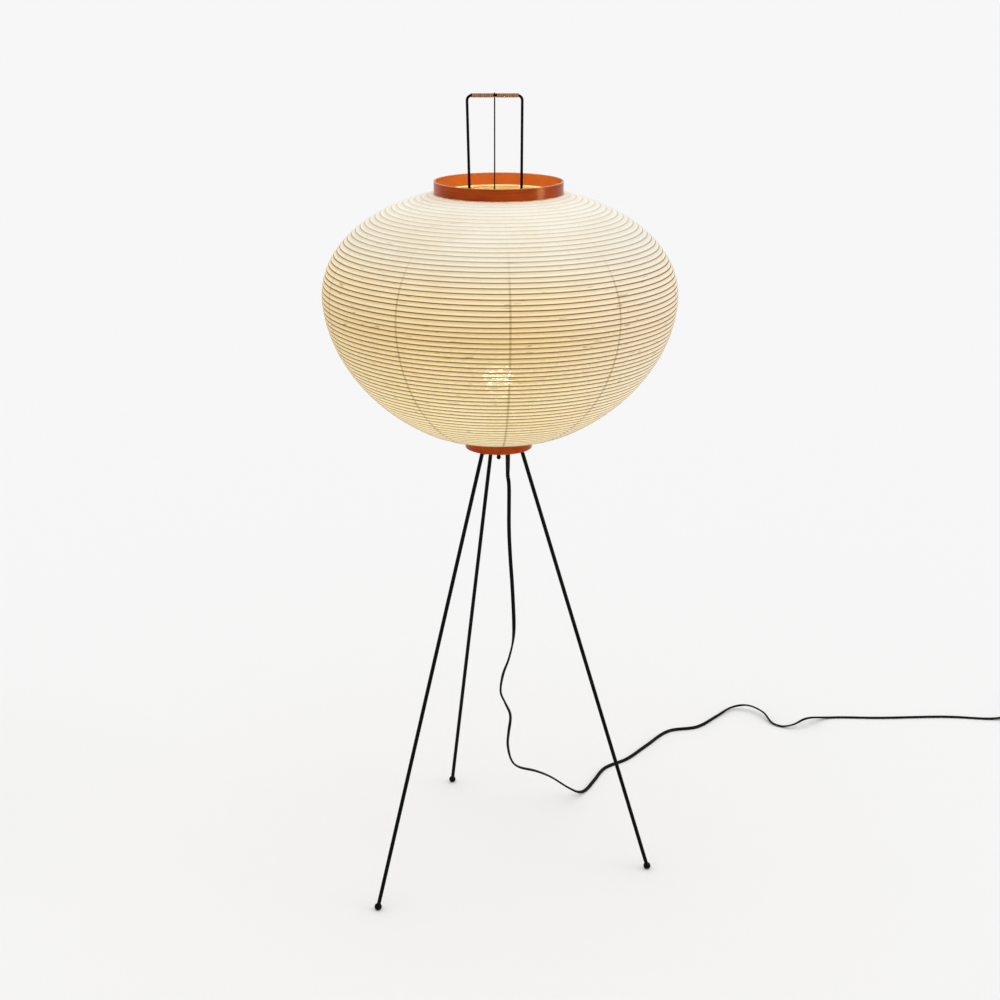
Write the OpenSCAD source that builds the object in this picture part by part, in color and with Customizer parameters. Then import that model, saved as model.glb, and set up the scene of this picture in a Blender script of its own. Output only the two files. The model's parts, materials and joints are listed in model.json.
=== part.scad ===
// Paper lantern on a tripod of black rods, with its frame, lampholder, bulb and cord.
// Millimetres, +Z up. The origin is on the floor under the lantern's centre.
// The front of the lamp looks along -Y and +X is to its right.

/* [Shade] */
// Widest diameter of the paper shade
shade_d = 530; // [515:1:540]
// Height of the shade's widest line above the floor
waist_z = 929; // [924:1:934]
// Height of the crown's ellipse above the widest line
crown_h = 160; // [156:1:164]
// Depth of the bowl's ellipse below the widest line
bowl_h = 231.5; // [229:0.5:234]
// Power of the crown's ellipse, 2 for a true ellipse
crown_power = 2.05; // [2:0.01:2.1]
// Power of the bowl's ellipse, 2 for a true ellipse
bowl_power = 1.86; // [1.82:0.01:1.9]
// Number of paper bands between the two rings, one less than the hoops
rib_count = 68; // [60:1:72]
// How much closer the hoops lie at the waist than on average
rib_crowding = 0.13; // [0:0.01:0.2]
// Where the hoops lie closest, as a share of the way from the top ring
rib_crowd_at = 0.47; // [0.4:0.01:0.55]
// Depth of the paper's valley between two hoops
valley_depth = 1.0; // [0.4:0.1:1.4]
// Thickness of the paper skin
paper_t = 0.5; // [0.4:0.1:0.6]
// Thickness of a bamboo hoop
rib_d = 1.2; // [1:0.1:1.4]
// Number of lengthwise threads
thread_count = 10; // [8:1:12]
// Thickness of a lengthwise thread
thread_d = 1.0; // [0.8:0.1:1.2]
// Turn of the first thread from the front of the lamp
thread_turn = 3.5; // [0:0.5:30]

/* [Rings] */
// Outer diameter of the top ring
top_ring_d = 190.8; // [188:0.2:194]
// Height of the top ring
top_ring_h = 17.8; // [16:0.2:20]
// Outer diameter of the bottom ring
bottom_ring_d = 102.2; // [101:0.2:104]
// Height of the bottom ring
bottom_ring_h = 13.5; // [12.5:0.5:14]
// Height of the bottom ring's lower edge above the floor
bottom_ring_z = 693.5; // [693:0.5:694]
// Wall thickness of both bentwood rings
ring_t = 2.5; // [2.4:0.1:2.8]
// How far the top ring travels down when the shade is folded
fold_travel = 210; // [150:5:215]

/* [Bail] */
// Thickness of the bail's wire
bail_wire_d = 4; // [3.6:0.1:4.2]
// Height of the bail's bar above the floor
bail_top_z = 1219; // [1210:1:1225]
// Distance between the bail's feet
bail_foot_w = 66; // [64:1:68]
// Distance between the bail's legs, carried up to the bar
bail_top_w = 80; // [76:1:82]
// Sideways place of the middle of the bail's feet
bail_foot_x = -1.3; // [-2:0.1:0]
// Sideways place of the middle of the bail's bar
bail_top_x = -5.8; // [-7:0.1:-4]
// Corner radius of the bail's wire
bail_corner_r = 7; // [5:0.5:8]
// Width of the cane strip wound on the bar
cane_w = 2.6; // [2.2:0.1:2.7]
// Thickness of the cane strip
cane_t = 1.0; // [0.8:0.1:1.2]
// Turns of cane on each half of the bar
cane_turns = 10; // [8:1:10]
// Thickness of the tension wire
hanger_d = 2; // [1.6:0.1:2.2]

/* [Stand] */
// Thickness of a leg
leg_d = 6; // [5.5:0.1:6.2]
// Diameter of the circle that the feet stand on
foot_circle_d = 514; // [508:1:518]
// Angle of the legs from upright
leg_splay = 17.9; // [17.8:0.1:18.2]
// Turn of the front right leg from the right of the lamp
stand_turn = -13.5; // [-15:0.5:-12]
// Sideways place of the middle of the three feet
stand_x = -10; // [-12:0.5:0]
// Place of the middle of the three feet towards the back
stand_y = -5; // [-8:0.5:0]
// Diameter of a ball foot
foot_ball_d = 11.5; // [11:0.1:12]
// Height of the hub plate's underside above the floor
hub_z = 697; // [696.5:0.1:697.5]
// Thickness of the hub plate
hub_t = 3; // [2.8:0.1:3.2]

/* [Light] */
// Diameter of the bulb's globe
bulb_d = 45; // [40:1:50]
// Height of the globe's centre above the floor
bulb_z = 800; // [798:1:806]
// Outer diameter of the lampholder
holder_d = 40; // [39:0.5:42]

/* [Cord] */
// Width of the flat flex
cord_w = 6.0; // [5.4:0.1:6.2]
// Thickness of the flat flex
cord_t = 3.5; // [3:0.1:3.6]
// Turns in the coil
coil_turns = 2.5; // [2.5:1:3.5]
// Radius of the coil's outermost turn
coil_r = 36; // [36:0.5:40]
// Travel of the foot switch's button
button_travel = 3; // [2:0.5:3]

/* [Hidden] */

round_fn = 64;           // round pieces
small_fn = 32;           // small round pieces
fit_gap = 0.05;          // radial play of a fixed pin in its hole
run_gap = 0.3;           // play of a piece that moves past another
orange = [0.80, 0.30, 0.09];
black = [0.05, 0.05, 0.05];
steel = [0.62, 0.63, 0.65];
brass = [0.80, 0.65, 0.30];

// ---------- helpers ----------

function unit(v) = v / norm(v);

// Running total of a list of lengths, from 0
function running(v) = [for (i = 0, s = 0; i <= len(v); s = s + (i < len(v) ? v[i] : 0), i = i + 1) s];

// Lengths from each point of a path to the next
function step_lengths(p) = [for (i = [0 : len(p) - 2]) norm(p[i + 1] - p[i])];

// One point of the smooth curve through the points p, past point i by the share t
function curve_point(p, i, t) =
  let (
    last = len(p) - 1,
    a = i > 0 ? p[i - 1] : 2 * p[0] - p[1],
    b = p[i],
    c = p[i + 1],
    d = i + 2 <= last ? p[i + 2] : 2 * p[last] - p[last - 1]
  )
  0.5 * (2 * b + (c - a) * t + (2 * a - 5 * b + 4 * c - d) * t * t
         + (3 * b - a - 3 * c + d) * t * t * t);

// The smooth curve through the points p, in n steps between each two
function curve(p, n) = concat(
  [for (i = [0 : len(p) - 2]) for (j = [0 : n - 1]) curve_point(p, i, j / n)],
  [p[len(p) - 1]]);

// The path p again, as count points at even lengths
function evenly(p, count) =
  let (
    run = running(step_lengths(p)),
    total = run[len(p) - 1],
    tables = [for (k = [0 : 2]) [for (i = [0 : len(p) - 1]) [run[i], p[i][k]]]]
  )
  [for (j = [0 : count - 1]) [for (k = [0 : 2]) lookup(total * j / (count - 1), tables[k])]];

// Direction of a path at point i
function heading(p, i) = unit(p[min(i + 1, len(p) - 1)] - p[max(i - 1, 0)]);

// Corners of a flat tube's ring, w wide along side and h thick across it
function ring_points(c, side, along, w, h, n) =
  let (up = cross(along, side))
  [for (j = [0 : n - 1]) c + side * (cos(360 * j / n) * w / 2) + up * (sin(360 * j / n) * h / 2)];

// A closed tube along the path p, whose wide side lies along sides[i] at point i
module flat_tube(p, sides, w, h, n) {
  rings = len(p);
  corners = [for (i = [0 : rings - 1]) each ring_points(p[i], sides[i], heading(p, i), w, h, n)];
  walls = [for (i = [0 : rings - 2]) for (j = [0 : n - 1])
    let (a = i * n + j, b = i * n + (j + 1) % n)
    each [[a, a + n, b], [b, a + n, b + n]]];
  first_cap = [for (j = [1 : n - 2]) [0, j, j + 1]];
  last = (rings - 1) * n;
  last_cap = [for (j = [1 : n - 2]) [last, last + j + 1, last + j]];
  polyhedron(points = corners, faces = concat(walls, first_cap, last_cap), convexity = 10);
}

// A round bar from the point a to the point b, turned about itself by spin
module bar(a, b, r, spin = 0) {
  v = b - a;
  translate(a)
    rotate([0, acos(v[2] / norm(v)), atan2(v[1], v[0])])
      rotate([0, 0, spin])
        cylinder(r = r, h = norm(v), $fn = small_fn);
}

// A flat disc or tube standing on z0
module tube(r_out, r_in, z0, h) {
  translate([0, 0, z0])
    difference() {
      cylinder(r = r_out, h = h, $fn = round_fn);
      translate([0, 0, -1])
        cylinder(r = r_in, h = h + 2, $fn = round_fn);
    }
}

// A plate with round ends, centred on the origin and standing on z0
module stadium(length, width, z0, h) {
  translate([-(length - width) / 2, -width / 2, z0])
    cube([length - width, width, h]);
  for (x = [-1, 1])
    translate([x * (length - width) / 2, 0, z0])
      cylinder(d = width, h = h, $fn = round_fn);
}

// ---------- the shade's curve ----------

shade_r = shade_d / 2;
skin_top_r = top_ring_d / 2;
skin_bottom_r = bottom_ring_d / 2 + 0.5;
curve_steps = 90;

function crown_point(t) = [
  shade_r * pow(cos(t), 2 / crown_power),
  waist_z + crown_h * pow(sin(t), 2 / crown_power)];
// The bowl's foot is drawn up to the bottom ring, by a smooth step between two radii
foot_lift = 3.5;
foot_lift_r = [72, 122];
function foot_rise(r) =
  let (u = min(1, max(0, (foot_lift_r[1] - r) / (foot_lift_r[1] - foot_lift_r[0]))))
  foot_lift * u * u * (3 - 2 * u);
function bowl_point(t) =
  let (r = shade_r * pow(cos(t), 2 / bowl_power))
  [r, waist_z - bowl_h * pow(sin(t), 2 / bowl_power) + foot_rise(r)];
crown_t = acos(pow(skin_top_r / shade_r, crown_power / 2));
bowl_t = acos(pow(skin_bottom_r / shade_r, bowl_power / 2));

// The skin's side view from the top ring down to the bottom ring
meridian = concat(
  [for (i = [0 : curve_steps]) crown_point(crown_t * (1 - i / curve_steps))],
  [for (i = [1 : curve_steps]) bowl_point(bowl_t * i / curve_steps)]);
meridian_run = running(step_lengths(meridian));
meridian_len = meridian_run[len(meridian) - 1];
meridian_r = [for (i = [0 : len(meridian) - 1]) [meridian_run[i], meridian[i][0]]];
meridian_z = [for (i = [0 : len(meridian) - 1]) [meridian_run[i], meridian[i][1]]];

function on_meridian(s) = [lookup(s, meridian_r), lookup(s, meridian_z)];
function outwards(s) =
  let (d = unit(on_meridian(s + 1) - on_meridian(s - 1)))
  [-d[1], d[0]];
// The point at the length s down the skin, depth under its ridges
function under_skin(s, depth) = on_meridian(s) - outwards(s) * depth;

// Length down the skin to hoop k: even steps, drawn together at the waist
function rib_s(k) =
  let (u = k / rib_count)
  meridian_len * (u - rib_crowding / (2 * PI)
    * (sin(360 * (u - rib_crowd_at)) + sin(360 * rib_crowd_at)));

waist_rib = round(rib_count * 0.44);
course_gap = 0.2;        // between the skin's two courses
rib_depth = paper_t + run_gap + rib_d / 2;
thread_depth = paper_t + rib_d + 2 * run_gap + thread_d / 2;
thread_steps = 36;
thread_end = 8;          // how far a thread stops short of each ring

// ---------- ring, bail and hub places ----------

top_ring_z = meridian[0][1] + 0.2;
strap_w = 14;
strap_t = 1.5;
top_strap_z = top_ring_z + 0.8;
bottom_strap_z = hub_z + hub_t;
tab_h = 5;

bail_r = bail_wire_d / 2;
bail_foot_z = hub_z + hub_t;
function bail_leg_x(side, z) =
  let (u = (z - bail_foot_z) / (bail_top_z - bail_foot_z))
  bail_foot_x + (bail_top_x - bail_foot_x) * u
  + side * (bail_foot_w + (bail_top_w - bail_foot_w) * u) / 2;
// Lean of a bail leg away from the middle, in degrees
function bail_lean(side) = atan(
  side * (bail_leg_x(side, bail_top_z) - bail_leg_x(side, bail_foot_z))
  / (bail_top_z - bail_foot_z));
// Centre of the bail's corner bend
function bend_x(side) =
  bail_leg_x(side, bail_top_z - bail_corner_r) - side * bail_corner_r / cos(bail_lean(side));
bail_wire_end = 1;       // the wire stops this far above the hub plate
bail_socket_h = 16;

eye_r = bail_r + run_gap + hanger_d / 2;
hanger_foot_z = top_ring_z - 3;
eye_room = 2.5;          // bare bar left each side of the eye's centre
cane_pitch = cane_w + 0.52;
cane_path_r = bail_r + 0.1 + cane_t / 2;
cane_rings = 24;         // rings in one loop of cane
cane_left_x = bail_top_x - eye_room - cane_turns * cane_pitch;
cane_right_x = bail_top_x + eye_room;

// ---------- legs ----------

foot_r = foot_circle_d / 2;
ball_r = foot_ball_d / 2;
ball_cut = 0.4;          // depth of the small flat under a ball foot
ball_z = ball_r - ball_cut;
leg_top_z = hub_z - 2;
socket_low_z = hub_z - 9;
socket_r = 5.4;
leg_turns = [stand_turn - 120, stand_turn, stand_turn + 120];
// A point on a leg's middle line: the feet stand a little off from under the hub
function leg_point(i, z) =
  let (r = foot_r - (z - ball_z) * tan(leg_splay),
       off = (leg_top_z - z) / (leg_top_z - ball_z))
  [r * cos(leg_turns[i]) + stand_x * off, r * sin(leg_turns[i]) + stand_y * off, z];

// ---------- light ----------

bolt_r = 3;
bracket_z = bottom_strap_z + strap_t;
bracket_t = 1.5;
bracket_w = 14;
bracket_d = 27;
bracket_top_z = 722;
nipple_r = 5;
nipple_low_z = bracket_top_z - 7;
nipple_top_z = bracket_top_z + 8;
holder_z = bracket_top_z + bracket_t;
insert_z = holder_z + 9.5;
insert_t = 4;
shell_z = insert_z + insert_t + 1;
shell_h = 33;
sleeve_r = 13.4;
sleeve_h = 29;
bulb_cap_r = 13.1;
bulb_cap_z = insert_z + insert_t + 6;
bulb_neck_z = bulb_cap_z + 25;
bulb_tip_h = 2;
bulb_r = bulb_d / 2;
globe_low = -48;         // angle where the globe runs into the neck

// ---------- cord ----------

cord_x = 14;
cord_y = 4;
bushing_low_z = 652;
// The flex from the bushing down to the floor and out to the foot switch
cord_route = [
  [14, 4, 652], [14, 4, 644], [16, 5, 624], [16, 6, 561], [18, 10, 511], [22, 13, 447],
  [24, 15, 378], [17, 17, 336], [7, 21, 304], [3, 28, 271], [10, 35, 248], [19, 43, 221],
  [16, 51, 185], [15, 62, 158], [21, 75, 125], [34, 89, 105], [63, 114, 85], [90, 147, 57],
  [120, 169, 26], [141, 188, 7], [156, 210, 2], [171, 244, 2], [193, 292, 2],
  [235, 328, 2], [274, 382, 2], [321, 445, 2], [378, 464, 2], [421, 512, 3],
  [454, 548, 5], [485, 547, 10], [511, 521, 8], [523, 485, 3], [539, 469, 2], [561, 465, 7],
  [591, 479, 14], [638, 508, 2], [740, 507, 2], [860, 512, 2], [940, 503, 2],
  [974, 502, 5]
];
cord_rings = 80;
cord_fall = [0.61, 0.79, 0];   // the way the hanging flex leads off, across its thin side
// How far the flex is turned about its own length, in degrees, by its run from the bushing:
// it hangs with its broad side to the front and lies on edge where it first meets the floor
cord_twist = [
  [0, -38], [250, -38], [297, -122], [350, -92], [405, -138], [460, -84], [520, -112],
  [565, -160], [690, -166], [760, -152], [870, -146], [950, -128], [1060, -126],
  [1120, -117], [1170, -96], [1215, -75], [1270, -22], [1335, -36], [1400, -6], [1480, 0]
];
floor_clearance = 0.05;
// The flex's wide side: level on the floor, turning with the lead as it hangs
function cord_side(p, i) =
  let (t = heading(p, i), fall = abs(t[2]))
  unit(cross(cord_fall * fall + [0, 0, 1] * (1 - fall), t));
// The same with the flex's own twist, where the path p has a point at every step of its run
function twisted_side(p, i, step) =
  let (side = cord_side(p, i), turn = lookup(i * step, cord_twist))
  side * cos(turn) + cross(heading(p, i), side) * sin(turn);
// Height of the flex's middle over its lowest corner
function half_height(p, i, step) =
  let (side = twisted_side(p, i, step), up = cross(heading(p, i), side))
  norm([side[2] * cord_w, up[2] * cord_t]) / 2;
// The path again, never so low that the flex dips into the floor
function laid(p, step) = [for (i = [0 : len(p) - 1])
  [p[i][0], p[i][1], max(p[i][2], half_height(p, i, step) + floor_clearance)]];

switch_x = 1023;
switch_y = 502;
switch_len = 58;
switch_w = 28;
switch_nose = 2;
relief_len = 20;         // tapered strain relief at each end of the switch
switch_split_z = 6;
switch_top_z = 14.5;
switch_wall = 1.8;
switch_cord_z = 5;
button_r = 9;
button_flange_r = 11;
button_top_z = 18;
button_flange_z = switch_top_z - 2 - 0.2 - 2;
spring_r = 6;
spring_wire_d = 0.9;
spring_turns = 5;
spring_low_z = 2.9;

coil_x = 1114;
coil_y = switch_y + coil_r;
coil_pitch = 6.8;
coil_low_z = 2.6;
coil_high_z = 6.9;
coil_rings = 24;         // rings in one loop of the coil
plug_rear_x = 1084;
plug_y = coil_y + coil_r;
plug_z = 7;
plug_len = 58;
plug_relief = 22;        // the plug's tapered strain relief
pin_len = 19;
pin_gap = 19;

switch_end_x = switch_x + switch_len / 2 + relief_len;

// Radius and height of the coil after so many turns: in on the floor, then out again on top
function coil_turn_r(turn) = coil_r - coil_pitch * (coil_turns / 2 - abs(turn - coil_turns / 2));
function coil_turn_z(turn) =
  let (u = min(1, max(0, (turn - coil_turns / 2 + 0.25) / 0.5)))
  coil_low_z + (coil_high_z - coil_low_z) * (1 - cos(180 * u)) / 2;
coil_path = concat(
  [[switch_end_x, switch_y, switch_cord_z],
   [switch_end_x + cord_w, switch_y, switch_cord_z],
   [coil_x - 22, switch_y, (switch_cord_z + coil_low_z) / 2],
   [coil_x - 10, switch_y, coil_low_z + 0.3]],
  [for (k = [0 : coil_turns * coil_rings])
    let (turn = k / coil_rings, r = coil_turn_r(turn))
    [coil_x + r * sin(360 * turn), coil_y - r * cos(360 * turn), coil_turn_z(turn)]],
  [[coil_x - 10, plug_y, coil_high_z + 0.2],
   [plug_rear_x + cord_w, plug_y, plug_z],
   [plug_rear_x, plug_y, plug_z]]);

// ---------- gaps that the wound pieces keep to themselves ----------

// Least distance between the corners of two lists of points
function least(a, b) = min([for (p = a) for (q = b) norm(p - q)]);

function cane_point(turn, x0) = [
  x0 + cane_pitch * turn,
  cane_path_r * sin(360 * turn),
  bail_top_z + cane_path_r * cos(360 * turn)];

module report_cane_gap() {
  corners = [for (k = [0 : 2 * cane_rings])
    let (p = cane_point(k / cane_rings, 0),
         q = cane_point(k / cane_rings + 0.01, 0),
         out = unit([0, p[1], p[2] - bail_top_z]),
         along = unit(q - p))
    ring_points(p, cross(out, along), along, cane_w, cane_t, 6)];
  half = cane_rings / 2;
  gap = min([for (k = [0 : half]) for (j = [k + half : k + 3 * half]) least(corners[k], corners[j])]);
  echo(str("least gap between turns of cane, mm: ", gap));
}

module report_coil_gap() {
  count = len(coil_path);
  corners = [for (i = [0 : count - 1])
    ring_points(coil_path[i], cord_side(coil_path, i), heading(coil_path, i), cord_w, cord_t, 6)];
  gap = min([for (i = [0 : count - 1]) for (j = [i + 8 : 1 : count - 1]) least(corners[i], corners[j])]);
  echo(str("least gap between turns of the coil, mm: ", gap));
}

// ---------- stand ----------

module leg(i) {
  color(black)
    bar(leg_point(i, ball_z), leg_point(i, leg_top_z), leg_d / 2);
}

// A ball with a small flat under it and a blind hole for the rod's end
module foot(i) {
  color(black)
    difference() {
      translate(leg_point(i, ball_z))
        sphere(r = ball_r, $fn = small_fn);
      translate(leg_point(i, 0) + [-ball_r * 2, -ball_r * 2, -ball_r])
        cube([ball_r * 4, ball_r * 4, ball_r]);
      bar(leg_point(i, ball_z), leg_point(i, ball_z + 20), leg_d / 2 + fit_gap);
    }
}

// Square to the leg, pointing out from the hub
function grub_dir(i) =
  let (axis = unit(leg_point(i, leg_top_z) - leg_point(i, ball_z)),
       out = [cos(leg_turns[i]), sin(leg_turns[i]), 0])
  unit(out - axis * (out * axis));
grub_r = 1.6;
grub_z = hub_z - 5.6;

// A slanted boss under the hub plate, bored for the rod and drilled for its grub screw
module leg_socket(i) {
  color(black)
    difference() {
      bar(leg_point(i, socket_low_z), leg_point(i, hub_z + 6), socket_r, 90);
      bar(leg_point(i, socket_low_z - 8), leg_point(i, leg_top_z + 0.2), leg_d / 2 + fit_gap);
      translate([-80, -80, hub_z])
        cube([160, 160, 20]);
      bar(leg_point(i, grub_z), leg_point(i, grub_z) + grub_dir(i) * 10, grub_r);
    }
}

module leg_grub_screws() {
  color(steel)
    for (i = [0 : 2])
      difference() {
        bar(leg_point(i, grub_z) + grub_dir(i) * (leg_d / 2 + fit_gap),
            leg_point(i, grub_z) + grub_dir(i) * (socket_r + 0.6), grub_r - 0.02);
        translate(leg_point(i, grub_z) + grub_dir(i) * (socket_r + 0.2))
          rotate([0, acos(grub_dir(i)[2]), atan2(grub_dir(i)[1], grub_dir(i)[0])])
            translate([-0.3, -2, 0])
              cube([0.6, 4, 2]);
      }
}

module hub_plate() {
  hub_r = bottom_ring_d / 2 - ring_t - 2.3;
  color(black)
    difference() {
      translate([0, 0, hub_z])
        cylinder(r = hub_r, h = hub_t, $fn = round_fn);
      translate([0, 0, hub_z - 1])
        cylinder(r = bolt_r + fit_gap, h = hub_t + 2, $fn = small_fn);
      translate([cord_x, cord_y, hub_z - 1])
        cylinder(r = 4.5, h = hub_t + 2, $fn = small_fn);
    }
}

// The bolt's head clamps the bracket and its rounded end shows under the hub
module centre_bolt() {
  head_z = bracket_z + bracket_t;
  low_z = 675;
  ball_end_r = bolt_r + 0.3;
  color(black) {
    translate([0, 0, low_z])
      cylinder(r = bolt_r - 0.1, h = hub_z - 5.6 - low_z, $fn = small_fn);
    translate([0, 0, low_z])
      sphere(r = ball_end_r, $fn = small_fn);
    translate([0, 0, hub_z - 5.6])
      cylinder(r = bolt_r, h = head_z - hub_z + 5.6, $fn = small_fn);
    translate([0, 0, head_z])
      cylinder(r = 5, h = 3.5, $fn = small_fn);
  }
}

module centre_nut() {
  nut_h = 5;
  color(black)
    translate([0, 0, hub_z - nut_h])
      difference() {
        cylinder(r = 5.7, h = nut_h, $fn = 6);
        translate([0, 0, -1])
          cylinder(r = bolt_r + fit_gap, h = nut_h + 2, $fn = small_fn);
      }
}

// A flanged bushing with a long tapered tail that eases the flex out of the hub
module cord_bushing() {
  color(black)
    translate([cord_x, cord_y, 0]) {
      translate([0, 0, hub_z - 2])
        cylinder(r = 6, h = 2, $fn = small_fn);
      translate([0, 0, hub_z])
        cylinder(r = 4.5 - fit_gap, h = hub_t + 3, $fn = small_fn);
      translate([0, 0, bushing_low_z])
        cylinder(r1 = 3.2, r2 = 3.9, h = hub_z - 2 - bushing_low_z, $fn = small_fn);
    }
}

// ---------- lantern frame ----------

// One wire: two splayed legs, two bends and the bar, with a hair of swelling at each joint
module bail_frame() {
  color(black) {
    for (side = [-1, 1])
      bar([bail_leg_x(side, bail_foot_z + bail_wire_end), 0, bail_foot_z + bail_wire_end],
          [bend_x(side) + side * bail_corner_r * cos(bail_lean(side)), 0,
           bail_top_z - bail_corner_r - bail_corner_r * sin(bail_lean(side))],
          bail_r);
    for (side = [-1, 1])
      translate([bend_x(side), 0, bail_top_z - bail_corner_r])
        rotate([90, side > 0 ? bail_lean(side) : -90, 0])
          rotate_extrude(angle = 90 + bail_lean(side), $fn = round_fn)
            translate([bail_corner_r, 0])
              circle(r = bail_r, $fn = small_fn);
    bar([bend_x(-1), 0, bail_top_z], [bend_x(1), 0, bail_top_z], bail_r);
    for (side = [-1, 1])
      for (turn = [-bail_lean(side), 90])
        translate([bend_x(side) + side * bail_corner_r * cos(turn), 0,
                   bail_top_z - bail_corner_r + bail_corner_r * sin(turn)])
          sphere(r = bail_r + 0.02, $fn = small_fn);
  }
}

module bail_sockets() {
  socket_top = bail_foot_z + bail_socket_h;
  color(black)
    for (side = [-1, 1])
      difference() {
        bar([bail_leg_x(side, bail_foot_z - 4), 0, bail_foot_z - 4],
            [bail_leg_x(side, socket_top), 0, socket_top], bail_r + 2);
        bar([bail_leg_x(side, bail_foot_z + bail_wire_end), 0, bail_foot_z + bail_wire_end],
            [bail_leg_x(side, socket_top + 5), 0, socket_top + 5], bail_r + fit_gap);
        translate([-60, -10, bail_foot_z - 10])
          cube([120, 20, 10]);
      }
}

// Cane wound on one half of the bar: one flat strip whose tail ends stand off the winding
module cane_wrap(x0) {
  report_cane_gap();
  steps = cane_turns * cane_rings;
  wound = [for (k = [0 : steps]) cane_point(k / cane_rings, x0)];
  // at both ends the strip runs straight on, level and square to the bar's side
  tail = cane_w * 0.8;
  path = concat([wound[0] - [0, tail, 0]], wound, [wound[steps] + [0, tail, 0]]);
  sides = [for (i = [0 : len(path) - 1])
    let (k = min(steps, max(0, i - 1)),
         out = unit([0, wound[k][1], wound[k][2] - bail_top_z]))
    unit(cross(out, heading(path, i)))];
  color([0.60, 0.33, 0.20])
    flat_tube(path, sides, cane_w, cane_t, 6);
}

// The thin wire that hangs from the bar by an eye and holds the top ring's strap
module tension_wire() {
  color(black) {
    translate([bail_top_x, 0, bail_top_z])
      rotate([0, 90, 0])
        rotate_extrude($fn = round_fn)
          translate([eye_r, 0])
            circle(d = hanger_d, $fn = small_fn);
    bar([bail_top_x, 0, hanger_foot_z], [bail_top_x, 0, bail_top_z - eye_r], hanger_d / 2);
  }
}

// ---------- shade ----------

module bentwood_ring(d, z0, h) {
  color(orange)
    tube(d / 2, d / 2 - ring_t, z0, h);
}

strap_screw_r = 1.2;
strap_screw_head_r = 2.4;

// Blind hole for one strap screw, from inside a ring, along +X
module strap_screw_room(r_in, z) {
  translate([r_in - 0.1, 0, z])
    rotate([0, 90, 0])
      cylinder(r = strap_screw_r, h = 1.9, $fn = small_fn);
}

// A flat strap across a ring, along X, with its ends turned up against the wall
module strap(r_in, z0) {
  for (side = [-1, 1])
    translate([side > 0 ? r_in - strap_t : -r_in, -strap_w / 2, z0])
      cube([strap_t, strap_w, tab_h + strap_t]);
  translate([-r_in, -strap_w / 2, z0])
    cube([2 * r_in, strap_w, strap_t]);
}

// The straps' ends are trimmed to the ring's round wall
module trimmed_strap(r_in, z0) {
  intersection() {
    strap(r_in - 0.3, z0);
    translate([0, 0, z0 - 1])
      cylinder(r = r_in - fit_gap, h = tab_h + 4, $fn = round_fn);
  }
}

module strap_screws(r_in, z) {
  color(steel)
    for (turn = [0, 180])
      rotate([0, 0, turn])
        translate([r_in - 0.3 - strap_t, 0, z])
          rotate([0, 90, 0]) {
            translate([0, 0, -1])
              cylinder(r = strap_screw_head_r, h = 1, $fn = small_fn);
            cylinder(r = strap_screw_r - 0.02, h = strap_t + 2, $fn = small_fn);
          }
}

top_in_r = top_ring_d / 2 - ring_t;
bottom_in_r = bottom_ring_d / 2 - ring_t;
top_screw_z = top_strap_z + strap_t + tab_h / 2;
bottom_screw_z = bottom_strap_z + strap_t + tab_h / 2;

module top_ring() {
  color(orange)
    difference() {
      bentwood_ring(top_ring_d, top_ring_z, top_ring_h);
      for (turn = [0, 180])
        rotate([0, 0, turn])
          strap_screw_room(top_in_r, top_screw_z);
    }
}

// Slots for the bail's legs and an open slot for the tension wire
module top_strap() {
  slot_w = bail_wire_d + 2;
  color(steel)
    difference() {
      trimmed_strap(top_in_r, top_strap_z);
      for (side = [-1, 1]) {
        x_high = bail_leg_x(side, top_strap_z);
        x_low = bail_leg_x(side, top_strap_z - fold_travel);
        slot_x0 = min(x_high, x_low) - bail_r - 1.5;
        slot_x1 = max(x_high, x_low) + bail_r + 1.5;
        translate([slot_x0, -slot_w / 2, top_strap_z - 1])
          cube([slot_x1 - slot_x0, slot_w, strap_t + 2]);
      }
      translate([bail_top_x - hanger_d / 2 - run_gap, -strap_w, top_strap_z - 1])
        cube([hanger_d + 2 * run_gap, strap_w + hanger_d / 2 + run_gap, strap_t + 2]);
      for (turn = [0, 180])
        rotate([0, 0, turn])
          translate([top_in_r - 5, 0, top_screw_z])
            rotate([0, 90, 0])
              cylinder(r = strap_screw_r, h = 10, $fn = small_fn);
    }
}

module top_strap_screws() {
  strap_screws(top_in_r, top_screw_z);
}

module bottom_ring() {
  color(orange)
    difference() {
      bentwood_ring(bottom_ring_d, bottom_ring_z, bottom_ring_h);
      for (turn = [90, 270])
        rotate([0, 0, turn])
          strap_screw_room(bottom_in_r, bottom_screw_z);
    }
}

module bottom_strap() {
  color(steel)
    rotate([0, 0, 90])
      difference() {
        trimmed_strap(bottom_in_r, bottom_strap_z);
        translate([0, 0, bottom_strap_z - 1])
          cylinder(r = bolt_r + fit_gap, h = strap_t + 2, $fn = small_fn);
        for (turn = [0, 180])
          rotate([0, 0, turn])
            translate([bottom_in_r - 5, 0, bottom_screw_z])
              rotate([0, 90, 0])
                cylinder(r = strap_screw_r, h = 10, $fn = small_fn);
      }
}

module bottom_strap_screws() {
  rotate([0, 0, 90])
    strap_screws(bottom_in_r, bottom_screw_z);
}

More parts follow.
